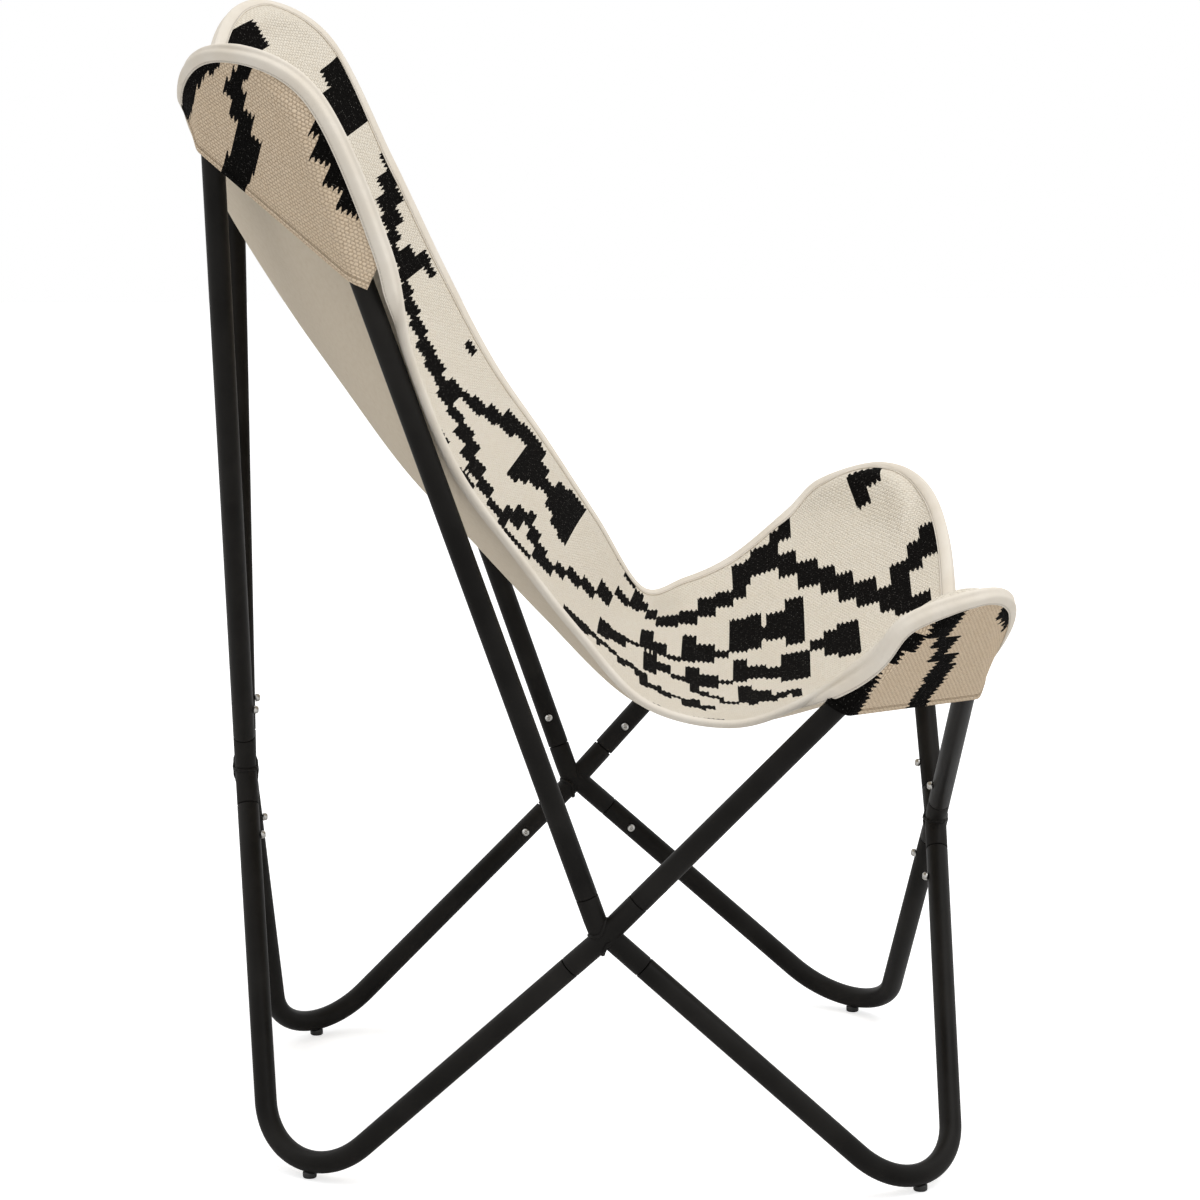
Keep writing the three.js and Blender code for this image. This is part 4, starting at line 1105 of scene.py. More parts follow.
def smooth_step(value, low, high):
    """0 below low, 1 above high, and 3t^2 - 2t^3 between."""
    t = np.clip((value - low) / (high - low), 0, 1)
    return t * t * (3 - 2 * t)


def on_rim(angle):
    """Point of the outline at a disc angle."""
    return draped(free_cloth(np.cos(angle), np.sin(angle)))


class Pocket:
    """A pocket's cloth: how it lies round the outside of a peak's tube, and where its hem runs.

    Seen along the tube, it is a straight line from under the binding that touches the round of the tube, then
    the round down to the outermost line, and then flat from leg to leg.
    """

    def __init__(self, side_name, end):
        self.peak = peak = PEAKS[side_name][end]
        self.end = end
        self.name = f"{end}_{side_name}"
        across, back = SIDES[side_name], 1.0 if end == "back" else -1.0
        self.tip_angle = math.atan2(back, across)
        self.towards_side = -across * back
        turn = np.linspace(-LOBE_TURN, LOBE_TURN, LOBE_STEPS)
        rim = on_rim(self.tip_angle + self.towards_side * turn)
        offset = rim - peak.centre
        tip = rim[len(rim) // 2]
        self.fallen = (rim - tip) @ peak.inward
        self.turn = turn
        out, along = peak.station(rim)
        order = np.argsort(along)
        self.along = along[order]
        self.rim_out = peak.locate(rim)[order]
        self.rim_depth = -(offset @ peak.normal)[order] + SKIN
        hem = HEMS[end]
        middle = len(turn) // 2
        self.side_turn = float(turn[middle + np.argmax(self.fallen[middle:] >= hem["side"])])
        self.centre_turn = float(turn[middle - np.argmax(self.fallen[middle::-1] >= hem["centre"])])
        self.hem = hem
        turns = np.array((self.centre_turn, self.side_turn))
        flat_ends = self.levelled(on_rim(self.tip_angle + self.towards_side * turns))
        self.hem_direction = unit(flat_ends[1] - flat_ends[0])
        self.up_direction = np.cross(peak.normal, self.hem_direction)
        if self.up_direction @ peak.inward > 0:
            self.up_direction = -self.up_direction
        self.faces_out = np.cross(self.hem_direction, self.up_direction) @ peak.normal < 0
        apex = peak.on_arc(0.0)
        drop = (flat_ends[0] - apex) @ self.up_direction
        self.origin = apex + self.up_direction * drop

    def levelled(self, place):
        """A place moved square into the plane of the peak's centre lines."""
        return place - self.peak.normal * ((place - self.peak.centre) @ self.peak.normal)[..., None]

    def contact(self, along):
        """Where the outline lies, out and deep, and how far round the tube the cloth is in touch with it."""
        far_out = np.interp(along, self.along, self.rim_out)
        far_deep = np.interp(along, self.along, self.rim_depth)
        slant = np.arccos(np.minimum(POCKET_RADIUS / np.hypot(far_out, far_deep), 1))
        turn = np.maximum(np.arctan2(far_out, far_deep) - slant, 0)
        past_out, past_deep = far_out - POCKET_RADIUS * np.sin(turn), far_deep - POCKET_RADIUS * np.cos(turn)
        return turn, past_out, past_deep, np.hypot(past_out, past_deep)

    def reach(self, along):
        """Length of cloth from the outermost line to the outline."""
        turn, _, _, straight = self.contact(along)
        return POCKET_RADIUS * turn + straight

    def profile(self, length, along, lift):
        """Distance out and depth of a place this far round from the outermost line, lifted off the cloth."""
        turn, past_out, past_deep, straight = self.contact(along)
        run, fall = past_out / straight, past_deep / straight
        angle = np.clip(length / POCKET_RADIUS, 0, turn)
        past = np.maximum(length - POCKET_RADIUS * turn, 0)
        out = POCKET_RADIUS * np.sin(angle) + past * run + np.minimum(length, 0)
        depth = POCKET_RADIUS * np.cos(angle) + past * fall
        beyond = length > POCKET_RADIUS * turn
        slope_out, slope_deep = np.where(beyond, run, np.cos(angle)), np.where(beyond, fall, -np.sin(angle))
        return out - slope_deep * lift, depth + slope_out * lift

    def lie(self, flat_place):
        """Each flat place laid round the tube, how far it is from the outermost line, and its station."""
        length = self.peak.locate(flat_place)
        out, along = self.peak.station(flat_place)
        distance, depth = self.profile(length, along, 0.0)
        laid = flat_place + out * (distance - length)[..., None] - self.peak.normal * depth[..., None]
        return laid, length, along

    def from_outline(self, turn, inset, lift):
        """A place this far in from the outline at a turn from the tip, lifted off the pocket."""
        rim = on_rim(self.tip_angle + self.towards_side * turn)
        out, along = self.peak.station(rim)
        centre_line = self.levelled(rim) - out * self.peak.locate(rim)[..., None]
        distance, depth = self.profile(self.reach(along) - inset, along, lift)
        return centre_line + out * distance[..., None] - self.peak.normal * depth[..., None]

    def share(self, turn):
        """1 where the binding holds this pocket and 0 beyond its hem."""
        low = np.where(turn > 0, self.side_turn, self.centre_turn)
        drop = np.where(turn > 0, self.hem["side"], self.hem["centre"])
        fallen = np.interp(turn, self.turn, self.fallen)
        inside = np.abs(turn) <= np.abs(low) + HEM_TURN
        return np.where(inside, 1 - smooth_step(fallen, drop - HEM_ABOVE, drop + HEM_BELOW), 0)


POCKETS = [Pocket(side, end) for side in SIDES for end in ENDS]


def rim_angles(steps):
    """Disc angles of evenly spaced places round the outline, and the outline's length."""
    dense = np.linspace(0, 2 * math.pi, RIM_STEPS)
    step = np.linalg.norm(np.diff(on_rim(dense), axis=0), axis=1)
    length = np.concatenate([[0.0], np.cumsum(step)])
    return np.interp(np.linspace(0, length[-1], steps, endpoint=False), length, dense), float(length[-1])


# The binding's outside on top, from its inner edge to the outline, as inset and height off the cloth's middle
TAPE_OUTSIDE = (
    (12.0, 1.45), (12.0, 2.0), (11.7, 2.35), (11.2, 2.3), (10.8, 1.95), (10.4, 2.3), (9.6, 2.8), (8.2, 3.2),
    (6.4, 3.45), (4.6, 3.4), (3.2, 3.1), (2.0, 2.6), (1.0, 1.9), (0.35, 1.1),
)
TAPE_INSIDE = ((11.5, 1.3), (8.0, 2.2), (4.0, 2.3), (1.6, 1.0))


def tape_section():
    """The closed section of the binding: over the top, round the outline, below, and back inside."""
    top, inside = np.array(TAPE_OUTSIDE) * MM, np.array(TAPE_INSIDE) * MM
    below = (1, -1)
    outline, fold = np.array([(0.0, 0.0)]), np.array([(0.9 * MM, 0.0)])
    return np.vstack([top, outline, top[::-1] * below, inside * below, fold, inside[::-1]])


def edge_track(angles, step, count):
    """The draped cloth's points at even insets from the outline, and its upward direction there."""
    p, q = (wave(angles)[:, None] * TRACK_RADII for wave in (np.cos, np.sin))
    track = draped(free_cloth(p, q))
    tangent = unit(np.roll(track[:, 0], -1, 0) - np.roll(track[:, 0], 1, 0))
    inwards = np.linalg.norm(np.cross(np.diff(track, axis=1), tangent[:, None]), axis=-1)
    inset = np.concatenate([np.zeros((len(angles), 1)), np.cumsum(inwards, 1)], 1)
    wanted = np.arange(count) * step
    surface = np.stack([
        np.stack([np.interp(wanted, own, points[:, axis]) for axis in range(3)], -1)
        for own, points in zip(inset, track)
    ])
    around = np.roll(surface, -1, 0) - np.roll(surface, 1, 0)
    return surface, unit(np.cross(around, np.gradient(surface, axis=1)))


def binding_points(angles):
    """The binding's section at each disc angle, and the distance of its points from its inner edge.

    Above, the section follows the draped cloth. Below, it follows the cloth too, but round the lobes it
    lies over the pocket and is wider.
    """
    surface, up = edge_track(angles, TRACK_STEP, TRACK_COUNT)
    inset, height = tape_section().T
    index = np.minimum((inset / TRACK_STEP).astype(int), TRACK_COUNT - 2)
    share = (inset / TRACK_STEP - index)[None, :, None]
    place = surface[:, index] * (1 - share) + surface[:, index + 1] * share
    normal = unit(up[:, index] * (1 - share) + up[:, index + 1] * share)
    points = place + normal * height[None, :, None]
    below = height < 0
    under = inset[below]
    wide = (POCKET_TAPE_WIDTH - TAPE_WIDTH) * smooth_step(under, WIDER_FROM, TAPE_WIDTH)
    lift = -height[below] - POCKET_SINK
    for pocket in POCKETS:
        turn = pocket.towards_side * (np.mod(angles - pocket.tip_angle + math.pi, 2 * math.pi) - math.pi)
        held = pocket.share(turn)
        near = np.nonzero(held > 0)[0]
        over = pocket.from_outline(turn[near][:, None], (under + wide)[None], lift[None])
        part = (held[near][:, None] * smooth_step(under, *ONTO_POCKET)[None])[..., None]
        rows = np.ix_(near, np.nonzero(below)[0])
        points[rows] = points[rows] * (1 - part) + over * part
    return points, TAPE_WIDTH - inset


# ---------------------------------------------------------------- kilim motifs


# Blocks of black yarn as first and last cell across, then first and last cell along. Cells count from the
# middle of the seat, outwards to either side and backwards. The two sides mirror each other.
ZIGZAG = (
    (75, 83, -62, -59), (65, 80, -59, -57), (65, 76, -57, -53), (62, 73, -53, -52), (57, 72, -52, -49),
    (54, 61, -49, -45), (50, 59, -45, -41), (46, 53, -41, -37), (44, 51, -37, -32), (49, 56, -32, -29),
    (54, 60, -29, -26), (52, 64, -27, -24), (63, 68, -24, -20), (66, 69, -20, -17),
    (50, 55, -24, -20), (41, 49, -20, -16), (36, 42, -16, -12), (33, 39, -12, -8), (29, 35, -8, -5),
    (24, 31, -5, -2), (24, 34, -2, 1),
    (30, 38, 1, 4), (35, 43, 4, 6), (29, 40, 6, 9), (22, 35, 9, 11), (21, 24, 1, 9),
    (25, 30, 11, 15), (28, 35, 15, 19), (31, 40, 19, 23), (35, 46, 23, 26), (41, 49, 26, 30),
    (46, 51, 30, 34), (48, 59, 34, 38), (51, 56, 38, 40), (52, 59, 40, 44), (54, 60, 44, 48),
    (57, 62, 48, 52), (59, 64, 52, 56), (61, 66, 56, 59), (64, 78, 59, 62), (66, 74, 62, 65),
    (66, 70, 65, 67), (68, 73, 67, 70), (70, 77, 70, 74), (72, 81, 74, 78), (76, 83, 78, 82),
    (81, 86, 82, 86), (74, 77, 56, 59),
)
BRANCHES = (
    (56, 60, 32, 34), (56, 62, 28, 32), (58, 65, 24, 28), (60, 69, 19, 24), (63, 70, 15, 19),
    (46, 70, 12, 15), (49, 69, 10, 12), (52, 64, 7, 10), (54, 60, 4, 7), (50, 65, 1, 4), (46, 67, -2, 1),
    (44, 67, -5, -2), (71, 74, 38, 41),
)
LOBE_BLOCKS = (
    (70, 84, 93, 103), (76, 84, 103, 107), (55, 67, 118, 125),
    (61, 70, -63, -59), (55, 65, -68, -63), (51, 61, -72, -68), (46, 57, -76, -72), (42, 52, -81, -76),
    (37, 47, -84, -81), (34, 54, -88, -84), (33, 40, -92, -88), (49, 59, -91, -88), (52, 63, -95, -91),
    (31, 34, -98, -92), (77, 87, -83, -80), (81, 87, -86, -83),
)
# The field between the zigzags. Behind, the whole field lies on both sides; in front, it lies on the right
# only, and the left has its inner part, mirrored about another cell.
INNER_FIELD = (
    (14, 28, 49, 52), (16, 24, 52, 56), (15, 22, 56, 59), (12, 28, 59, 65),
    (9, 22, 39, 42), (8, 18, 42, 46), (12, 15, 46, 49),
    (8, 24, 30, 33), (13, 20, 33, 36), (10, 14, 36, 39),
    (16, 31, 19, 22), (19, 29, 22, 26), (25, 28, 26, 29),
)
FIELD = INNER_FIELD + (
    (32, 48, 48, 52), (33, 49, 52, 55), (37, 43, 55, 56), (36, 48, 56, 60), (32, 52, 60, 64),
    (27, 32, 65, 68), (23, 35, 68, 71), (21, 37, 71, 76),
    (25, 40, 38, 41), (26, 36, 41, 45), (29, 33, 45, 48), (26, 40, 29, 32), (25, 33, 32, 35),
    (24, 27, 35, 38),
)
# The middle of the field behind
BACK_MIDDLE = (
    (0, 11, 50, 54), (0, 7, 54, 57), (0, 3, 57, 62), (0, 8, 40, 43), (0, 3, 43, 46),
    (7, 16, 10, 14), (5, 16, 14, 17), (6, 14, 17, 20), (2, 12, 20, 23), (0, 8, 23, 26), (0, 5, 26, 31),
)
# The seat's middle and left are cut from another place of the pattern: cells to the right, then forwards
FRONT_MIDDLE = (
    (7, 16, 10, 14), (5, 16, 14, 17), (8, 14, 17, 19), (3, 12, 19, 20), (7, 12, 20, 22), (5, 10, 22, 24),
    (-1, 7, 24, 26), (2, 8, 26, 28), (-3, 6, 28, 29), (-12, 5, 29, 31), (-10, -4, 31, 33), (-12, -2, 33, 34),
    (-13, -6, 34, 36), (-10, -7, 36, 38), (-18, -8, 38, 40), (-17, -6, 40, 42), (-19, -12, 42, 43),
    (-16, -11, 43, 45),
    (1, 9, 40, 42), (-1, 4, 42, 44), (-2, 1, 44, 46), (-7, 0, 46, 47), (-7, -4, 47, 50),
    (-5, 11, 50, 52), (-8, 11, 52, 53), (-7, 8, 53, 54), (-4, 7, 54, 57), (-5, 2, 57, 58), (-2, 4, 58, 60),
    (1, 5, 60, 61), (-3, 5, 61, 63),
)
# Twice the cell that the front's inner field is mirrored about
FRONT_MIRROR = -24
# Behind, the blocks of the field stop at the zigzag: cells out for each cell backwards, and at the middle
ZIGZAG_SLOPE = 0.8
ZIGZAG_START = 12

# The pockets' blocks, across towards the side leg from under the tip, and up from the hem
POCKET_BLOCKS = {
    "back": (
        (0, 3, 23, 40), (-1, 2, 20.3, 23.5), (-2.2, 3.4, 17, 20.6), (0.3, 6.5, 13, 17), (2.9, 9.6, 5, 13),
        (2.2, 9, 2, 5), (1.8, 8.5, -1, 2),
        (-60, -12.6, -1, 1), (-60, -11.2, 1, 3), (-60, -10, 3, 5), (-60, -9.1, 5, 8), (-60, -8.3, 8, 13),
        (-60, -7.6, 13, 15.5), (-60, -6.8, 15.5, 18.2), (-60, -5.2, 18.2, 20.6), (-60, -3.8, 20.6, 40),
        (18.3, 60, 22.2, 40), (20.6, 60, 18.1, 22.2), (24.3, 60, 14.7, 18.1), (28.3, 60, 11.3, 14.7),
    ),
    "front": (
        (-12.2, -4.8, -1, 1.6), (-11.3, -4.4, 1.6, 3.75), (-11.3, -3.8, 3.75, 7.5), (-10.6, -2.6, 7.5, 11.8),
        (-7.8, -2.4, 11.8, 15.2), (-3.2, 1.4, 12.8, 16.8), (-3.2, 5.2, 16.8, 20), (1.8, 8.8, 20, 40),
        (9.5, 60, 16.7, 20.6), (12.1, 60, 12.8, 16.7), (13.8, 60, 9.4, 12.8), (13.4, 60, 5, 9.4),
        (12.4, 60, 2.5, 5), (11.8, 60, -1, 2.5),
        (-15.5, -11.8, 23, 40), (-18.5, -15.5, 21.6, 40), (-21, -18.5, 19.8, 40), (-24, -21, 18.2, 40),
    ),
}


def in_blocks(x, y, blocks):
    """True inside any of the blocks of cells."""
    x0, x1, y0, y1 = (np.array(side)[:, None, None] for side in zip(*blocks))
    return ((x >= x0) & (x < x1) & (y >= y0) & (y < y1)).any(0)


def sling_motif(x, y):
    """True where the sling's yarn is black. x and y count cells from the middle of the seat."""
    out = np.abs(x)
    inside_zigzag = (y < 0) | (out < ZIGZAG_SLOPE * y + ZIGZAG_START)
    ink = in_blocks(out, y, ZIGZAG + BRANCHES + LOBE_BLOCKS) | in_blocks(x, -y, FRONT_MIDDLE)
    field = in_blocks(out, np.abs(y), FIELD) & ((x > 0) | (y > 0))
    field = field | in_blocks(FRONT_MIRROR - x, -y, INNER_FIELD) | in_blocks(out, y, BACK_MIDDLE)
    return ink | (field & inside_zigzag)


def row_field(ink, reach=2):
    """Each row of cells' own field at the ends of its cells: about the number of cells inside the black.

    It is the share of black in the cells up to reach to either side, less one half, times their number.
    """
    padded = np.pad(ink.astype(float), ((reach, reach), (0, 0)), mode="edge")
    rows = ink.shape[0] + 1
    return sum(padded[k:k + rows] for k in range(2 * reach)) - reach


def whole_cells(good):
    """The cells of a grid whose four corners are all good."""
    return good[:-1, :-1] & good[1:, :-1] & good[:-1, 1:] & good[1:, 1:]


def sheet_solid(points, cells, thickness):
    """Both skins of a cloth and its edge walls, from grid points and quads that share them.

    Each skin lies half the thickness from the middle surface, along the points' averaged normals.
    """
    a, b, c, d = (points[cells[:, k]] for k in range(4))
    face_normal = np.cross(c - a, d - b)
    normal = np.zeros_like(points)
    for k in range(4):
        np.add.at(normal, cells[:, k], face_normal)
    normal = unit(normal)
    count = len(points)
    edges = np.concatenate([cells[:, [k, (k + 1) % 4]] for k in range(4)])
    key = edges[:, 0] * count + edges[:, 1]
    back = edges[:, 1] * count + edges[:, 0]
    rim = edges[~np.isin(key, back)]
    walls = np.stack([rim[:, 1], rim[:, 0], rim[:, 0] + count, rim[:, 1] + count], 1)
    skins = np.vstack([points + normal * thickness / 2, points - normal * thickness / 2])
    return skins, np.vstack([cells, cells[:, ::-1] + count, walls]), normal


def numbered(keep_cells):
    """New point numbers for the corners of the kept cells of a grid, and those cells as quads."""
    rows, columns = keep_cells.shape
    i, j = np.nonzero(keep_cells)
    width = columns + 1
    corner = i * width + j
    quads = np.stack([corner, corner + width, corner + width + 1, corner + 1], 1)
    used = np.unique(quads)
    number = np.full((rows + 1) * width, -1)
    number[used] = np.arange(len(used))
    return used, number[quads]


def corner_field(field, kept, turned=False):
    """The field at the four corners of each kept cell, which belongs to the cell's own row."""
    near, far = (field[:, :-1], field[:, 1:]) if turned else (field[:-1], field[1:])
    near, far = near[kept], far[kept]
    return np.stack([near, near, far, far] if turned else [near, far, far, near], 1)


def write_cloth(piece, flat, corners, point_field, seam):
    """Stores each point's flat place as the UV map, its distance from the hem, and the motif's field."""
    mesh = piece.data
    loops = np.zeros(len(mesh.loops), int)
    mesh.loops.foreach_get("vertex_index", loops)
    layer = mesh.uv_layers.new(name="flat")
    layer.data.foreach_set("uv", flat[loops].astype(np.float32).ravel())
    values = point_field[loops]
    skins = np.concatenate([corners, corners[:, ::-1]]).ravel()
    values[:len(skins)] = skins
    motif = mesh.attributes.new("motif", "FLOAT", "CORNER")
    motif.data.foreach_set("value", values.astype(np.float32))
    hem = mesh.attributes.new("seam", "FLOAT", "POINT")
    hem.data.foreach_set("value", seam.astype(np.float32))


# ---------------------------------------------------------------- scene settings


def colour_setting(name, description, default):
    return bpy.props.FloatVectorProperty(
        name=name, description=description, subtype="COLOR", size=3, default=default, min=0, max=1)


def length_setting(name, description, default, low, high):
    return bpy.props.FloatProperty(
        name=name, description=description, unit="LENGTH", default=default, min=low, max=high, precision=4)


class ChairLooks(bpy.types.PropertyGroup):
    """Sizes and colours that a user would change."""

    steel: colour_setting("Powder coat", "Colour of the coated steel", (0.0075, 0.0068, 0.006))
    cream: colour_setting("Cream yarn", "Colour of the kilim's ground", (0.80, 0.74, 0.635))
    black: colour_setting("Black yarn", "Colour of the kilim's motifs", (0.005, 0.0044, 0.004))
    canvas: colour_setting("Canvas", "Colour of the canvas back", (0.70, 0.61, 0.48))
    tape: colour_setting("Tape", "Colour of the binding", (0.80, 0.74, 0.65))
    cell: length_setting("Cell", "Width of one cell of the woven pattern", 0.0043, 0.003, 0.01)
    thickness: length_setting(
        "Cloth", "Thickness of the sling, kilim and canvas together", 0.0024, 0.001, 0.005)
    tooth: length_setting(
        "Teeth", "Distance between the fine teeth at the motifs' edges", 0.0044, 0.002, 0.01)
    sides: bpy.props.IntProperty(
        name="Sides", description="Number of sides of the round tubes", default=40, min=16, max=96)
    binding_steps: bpy.props.IntProperty(
        name="Binding steps", description="Number of sections round the binding",
        default=720, min=200, max=2000)


class ChairStage(bpy.types.PropertyGroup):
    """Camera, light and floor."""

    focal: bpy.props.FloatProperty(
        name="Lens", description="Focal length on a 36 mm wide sensor, in millimetres",
        default=134.16, min=20, max=300)
    key: bpy.props.FloatProperty(
        name="Key light", description="Power of the large lamp, in watts", default=54, min=0)
    fill: bpy.props.FloatProperty(
        name="World light", description="Strength of the even light from all sides", default=0.68, min=0)


def looks():
    return bpy.context.scene.chair_looks


# ---------------------------------------------------------------- operators


class CHAIR_OT_legs(bpy.types.Operator):
    """Makes the eight bent leg tubes"""

    bl_idname = "chair.legs"
    bl_label = "Leg tubes"

    def execute(self, context):
        material = powder_coat(looks().steel)
        for legs in LEGS.values():
            for leg in legs.values():
                leg_tube(leg, looks().sides, material)
        return {"FINISHED"}


class CHAIR_OT_crossings(bpy.types.Operator):
    """Makes the four welded crossings"""

    bl_idname = "chair.crossings"
    bl_label = "Crossings"

    def execute(self, context):
        material = bpy.data.materials["black_powder_coat"]
        for name, runs in crossing_runs().items():
            crossing(name, runs, looks().sides, material)
        return {"FINISHED"}


class CHAIR_OT_fittings(bpy.types.Operator):
    """Makes the sixteen screws and the four glides"""

    bl_idname = "chair.fittings"
    bl_label = "Screws and glides"

    def execute(self, context):
        zinc, plastic = zinc_plate(), moulded_plastic()
        for legs in LEGS.values():
            for leg in legs.values():
                for end in leg.ends:
                    screw(end, f"screw_{leg.name}_{end.place}", zinc)
                if leg.name.startswith("foot"):
                    glide(leg, leg.name.replace("foot", "glide"), plastic)
        return {"FINISHED"}


class CHAIR_OT_sling(bpy.types.Operator):
    """Weaves the sling panel cell by cell and lays it over the tubes"""

    bl_idname = "chair.sling"
    bl_label = "Sling panel"

    def execute(self, context):
        sling_panel()
        return {"FINISHED"}


def sling_panel():
    """The sling on a grid of square cells of the flat cloth, each cell with its own yarn."""
    look = looks()
    cut, cell = Cut(), look.cell
    angle = np.linspace(0, 2 * math.pi, FLAT_RIM_STEPS, endpoint=False)
    rim = cut.flat_of(np.cos(angle), np.sin(angle))[0]
    low, high = np.floor(rim.min(0) / cell).astype(int), np.ceil(rim.max(0) / cell).astype(int)
    i, j = np.meshgrid(np.arange(low[0], high[0] + 1), np.arange(low[1], high[1] + 1), indexing="ij")
    flat = np.stack([i * cell, j * cell], -1).reshape(-1, 2)
    p, q = cut.disc_of(flat)
    missed = np.linalg.norm(cut.flat_of(p, q)[0] - flat, axis=1)
    good = (np.hypot(p, q) < 1) & (missed < SAME_PLACE) & (nearest(flat, rim)[1] > SLING_EDGE_INSET)
    kept = whole_cells(good.reshape(i.shape))
    field = row_field(sling_motif((i + 0.5)[:-1, :-1], (j + 0.5)[:-1, :-1]))
    used, quads = numbered(kept)
    skins, faces, _ = sheet_solid(draped(free_cloth(p[used], q[used])), quads, look.thickness)
    piece = make_mesh("sling_cloth", skins, faces)
    no_hem = np.ones(2 * len(used))
    write_cloth(piece, np.tile(flat[used], (2, 1)), corner_field(field, kept), -no_hem, no_hem)
    weave = kilim("kilim_weave", look.cream, look.black, look.tooth, 0.42, 0.0011)
    ride(piece, "woven_cloth", weave, "sling_panel")
    piece.data.materials.append(canvas(look.canvas))
    index = np.zeros(len(piece.data.polygons), int)
    index[len(quads):2 * len(quads)] = 1
    piece.data.polygons.foreach_set("material_index", index)


class CHAIR_OT_pockets(bpy.types.Operator):
    """Weaves the four pockets and lays them round the outside of the tubes"""

    bl_idname = "chair.pockets"
    bl_label = "Pockets"

    def execute(self, context):
        look = looks()
        # The pockets' cream is a copy of the sling's, warmer and darker in green and blue, with deeper shade
        # between knots: painted shade and warm bounce light on the pockets' outsides.
        pocket_shaded_cream = [c * f for c, f in zip(look.cream, (1.05, 0.92, 0.79))]
        material = kilim("kilim_pocket_shaded", pocket_shaded_cream, look.black, look.tooth, 0.85, 0.002)
        for pocket in POCKETS:
            pocket_cloth(pocket, material)
        return {"FINISHED"}


def pocket_cloth(pocket, material):
    """A pocket on a grid of half cells, from under the binding down to its hem, which is folded double."""
    fine, (half, height) = POCKET_FINENESS, POCKET_GRID
    cell = looks().cell / fine
    i, j = np.meshgrid(np.arange(-half, half + 1), np.arange(height + 1), indexing="ij")
    flat = pocket.origin + (pocket.hem_direction * i[..., None] + pocket.up_direction * j[..., None]) * cell
    places, length, along = pocket.lie(flat)
    kept = whole_cells(length < pocket.reach(along) - POCKET_EDGE_INSET)
    turned_yarn = pocket.end == "back"
    ink = in_blocks((i + 0.5)[:-1, :-1] / fine, (j + 0.5)[:-1, :-1] / fine, POCKET_BLOCKS[pocket.end])
    field = row_field(ink.T, 2 * fine).T if turned_yarn else row_field(ink, 2 * fine)
    corners = corner_field(field / fine, kept, turned_yarn)
    used, quads = numbered(kept)
    if not pocket.faces_out:
        quads, corners = quads[:, ::-1], corners[:, ::-1]
    across, up = (i * cell).ravel()[used], (j * cell).ravel()[used]
    fold = HEM_FOLD * (1 - smooth_step(up, *HEM_FOLD_END))
    thickness = looks().thickness * POCKET_THICKNESS_SHARE
    skins, faces, normal = sheet_solid(places.reshape(-1, 3)[used], quads, thickness)
    skins[:len(used)] += normal * fold[:, None]
    piece = make_mesh(f"pocket_cloth_{pocket.name}", skins, faces)
    flat_place = np.stack([up, across] if turned_yarn else [across, up], 1)
    near_hem = np.pad(ink, ((0, 1), (0, 1)), mode="edge").ravel()[used] * 2.0 - 1
    write_cloth(piece, np.tile(flat_place, (2, 1)), corners, np.tile(near_hem, 2), np.tile(up, 2))
    ride(piece, "woven_cloth", material, f"pocket_{pocket.name}")


class CHAIR_OT_binding(bpy.types.Operator):
    """Rolls the tape round the whole outline, over the pockets' edges"""

    bl_idname = "chair.binding"
    bl_label = "Binding"

    def execute(self, context):
        angles, girth = rim_angles(looks().binding_steps)
        points, from_edge = binding_points(angles)
        rows, columns = points.shape[:2]
        piece = make_mesh("binding_tape", points.reshape(-1, 3), loop_faces(rows, columns, close_rows=True))
        loops = np.zeros(len(piece.data.loops), int)
        piece.data.loops.foreach_get("vertex_index", loops)
        row, column = loops // columns, loops % columns
        wrapped = (row == 0) & (np.arange(len(loops)) // 4 // columns == rows - 1)
        along = np.where(wrapped, rows, row) * girth / rows
        layer = piece.data.uv_layers.new(name="flat")
        layer.data.foreach_set("uv", np.stack([along, from_edge[column]], 1).astype(np.float32).ravel())
        outwards(piece)
        ride(piece, "canvas_tape", tape(looks().tape), "binding")
        return {"FINISHED"}


class CHAIR_OT_stage(bpy.types.Operator):
    """Sets the floor, the lights, the background and the camera"""

    bl_idname = "chair.stage"
    bl_label = "Stage"

    def execute(self, context):
        floor()
        lights()
        background()
        camera()
        return {"FINISHED"}


# The stage in metres and degrees, and the camera's yaw, pitch and roll
FLOOR_REACH = 6.0
FLOOR_GLOW = 0.6
LAMP_AIM = (0, 0, 0.5)
BACK_LIGHT_SHARE = 0.3
CAMERA_PLACE = (-3.8569, 0.187, 1.1813)
CAMERA_TURN = (-2.81, 10.65, 0.09)
SENSOR_WIDTH = 36


def floor():
    """A pale floor, which the camera sees as white."""
    points = np.array([(-1, -1, 0), (1, -1, 0), (1, 1, 0), (-1, 1, 0)]) * FLOOR_REACH - SHIFT
    piece = make_mesh("floor", points, np.array([[0, 1, 2, 3]]), smooth=False)
    finish = Finish("pale_floor")
    speckle = finish.noise(object_coordinates(finish), 30.0)
    seen = finish.add("LightPath")
    finish.set(
        Base_Color=finish.mixed(speckle, (0.80, 0.80, 0.80, 1), (0.84, 0.84, 0.84, 1)),
        Roughness=0.9,
        Emission_Color=(1, 1, 1, 1),
        Emission_Strength=finish.times(seen, FLOOR_GLOW),
    )
    piece.data.materials.append(finish.material)


def lamp(name, place, size, power):
    """A large soft square lamp aimed at the chair."""
    data = bpy.data.lights.new(name, "AREA")
    data.shape = "SQUARE"
    data.size = size
    data.energy = power
    made = bpy.data.objects.new(name, data)
    bpy.context.scene.collection.objects.link(made)
    made.location = place
    made.rotation_euler = (Vector(LAMP_AIM) - Vector(place)).to_track_quat("-Z", "Y").to_euler()


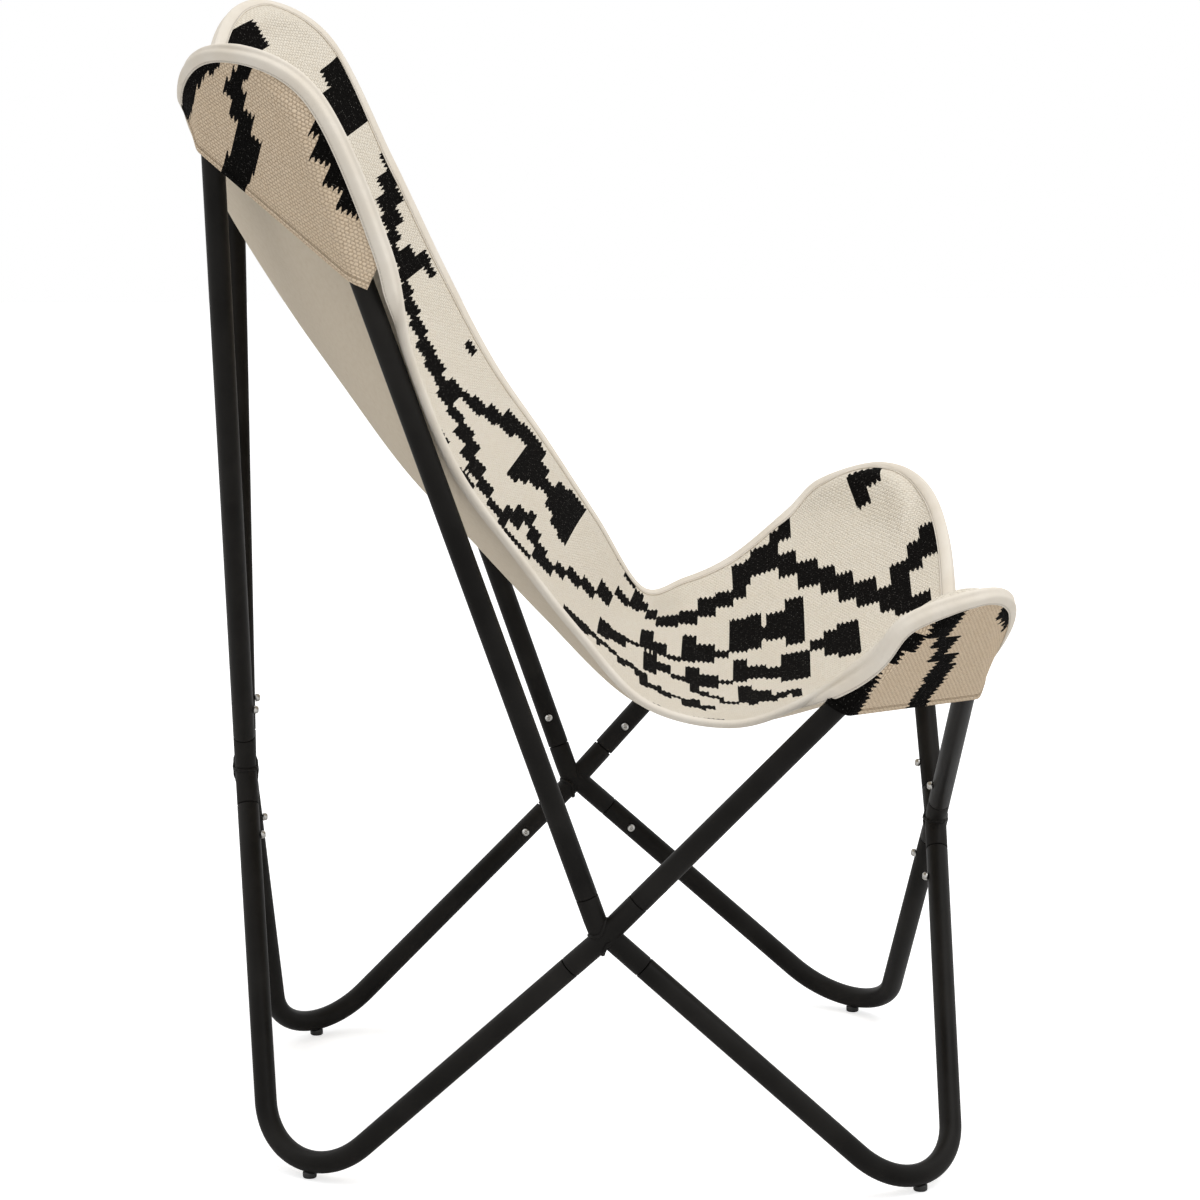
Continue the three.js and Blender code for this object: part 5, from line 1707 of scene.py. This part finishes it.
def lights():
    """Two soft lamps: a large one overhead, towards the camera and the front, and one behind."""
    power = bpy.context.scene.chair_stage.key
    lamp("key_light", (-0.9, -1.2, 3.3), 2.6, power)
    lamp("back_light", (1.6, 2.4, 2.6), 2.0, power * BACK_LIGHT_SHARE)


def background():
    """White to the camera, mirrors and glass, and a plain even light to everything else."""
    scene = bpy.context.scene
    scene.world = bpy.data.worlds.new("white_room")
    scene.world.use_nodes = True
    tree = scene.world.node_tree
    tree.nodes.clear()
    kinds = ("LightPath", "Math", "Math", "Background", "Background", "MixShader", "OutputWorld")
    path, either, any_ray, even, white, mix, out = (tree.nodes.new("ShaderNode" + kind) for kind in kinds)
    either.operation = any_ray.operation = "MAXIMUM"
    for light, strength in ((even, scene.chair_stage.fill), (white, 1.0)):
        light.inputs["Color"].default_value = (1, 1, 1, 1)
        light.inputs["Strength"].default_value = strength
    for source, target in (
        (path.outputs["Is Camera Ray"], either.inputs[0]), (path.outputs["Is Glossy Ray"], either.inputs[1]),
        (either.outputs[0], any_ray.inputs[0]), (path.outputs["Is Transmission Ray"], any_ray.inputs[1]),
        (any_ray.outputs[0], mix.inputs[0]), (even.outputs[0], mix.inputs[1]),
        (white.outputs[0], mix.inputs[2]), (mix.outputs[0], out.inputs[0]),
    ):
        tree.links.new(source, target)


def camera():
    """The photograph's viewpoint: from the left, slightly above the seat, turned a little to the front."""
    yaw, pitch, roll = (math.radians(angle) for angle in CAMERA_TURN)
    forward = np.array((math.cos(yaw) * math.cos(pitch), math.sin(yaw) * math.cos(pitch), -math.sin(pitch)))
    right = np.array((math.sin(yaw), -math.cos(yaw), 0))
    up = np.cross(right, forward)
    right, up = right * math.cos(roll) + up * math.sin(roll), up * math.cos(roll) - right * math.sin(roll)
    data = bpy.data.cameras.new("camera")
    data.sensor_width = SENSOR_WIDTH
    data.lens = bpy.context.scene.chair_stage.focal
    made = bpy.data.objects.new("camera", data)
    bpy.context.scene.collection.objects.link(made)
    rows = np.stack([right, up, -forward, CAMERA_PLACE + SHIFT], 1)
    made.matrix_world = Matrix(np.vstack([rows, (0, 0, 0, 1)]).tolist())
    bpy.context.scene.camera = made
    bpy.context.scene.view_settings.view_transform = "Standard"


class CHAIR_PT_build(bpy.types.Panel):
    """Lists the steps that make the chair"""

    bl_idname = "CHAIR_PT_build"
    bl_label = "Butterfly sling chair"
    bl_space_type = "VIEW_3D"
    bl_region_type = "UI"
    bl_category = "Chair"

    def draw(self, context):
        for step in STEPS:
            self.layout.operator(step.bl_idname)


STEPS = (
    CHAIR_OT_stage, CHAIR_OT_legs, CHAIR_OT_crossings, CHAIR_OT_fittings, CHAIR_OT_sling, CHAIR_OT_pockets,
    CHAIR_OT_binding,
)
CLASSES = (ChairLooks, ChairStage) + STEPS + (CHAIR_PT_build,)


def register():
    for made in CLASSES:
        bpy.utils.register_class(made)
    bpy.types.Scene.chair_looks = bpy.props.PointerProperty(type=ChairLooks)
    bpy.types.Scene.chair_stage = bpy.props.PointerProperty(type=ChairStage)


def unregister():
    del bpy.types.Scene.chair_stage
    del bpy.types.Scene.chair_looks
    for made in reversed(CLASSES):
        bpy.utils.unregister_class(made)


def main():
    """Runs the steps in order."""
    register()
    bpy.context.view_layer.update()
    for step in STEPS:
        group, name = step.bl_idname.split(".")
        getattr(getattr(bpy.ops, group), name)()


if __name__ == "__main__":
    main()
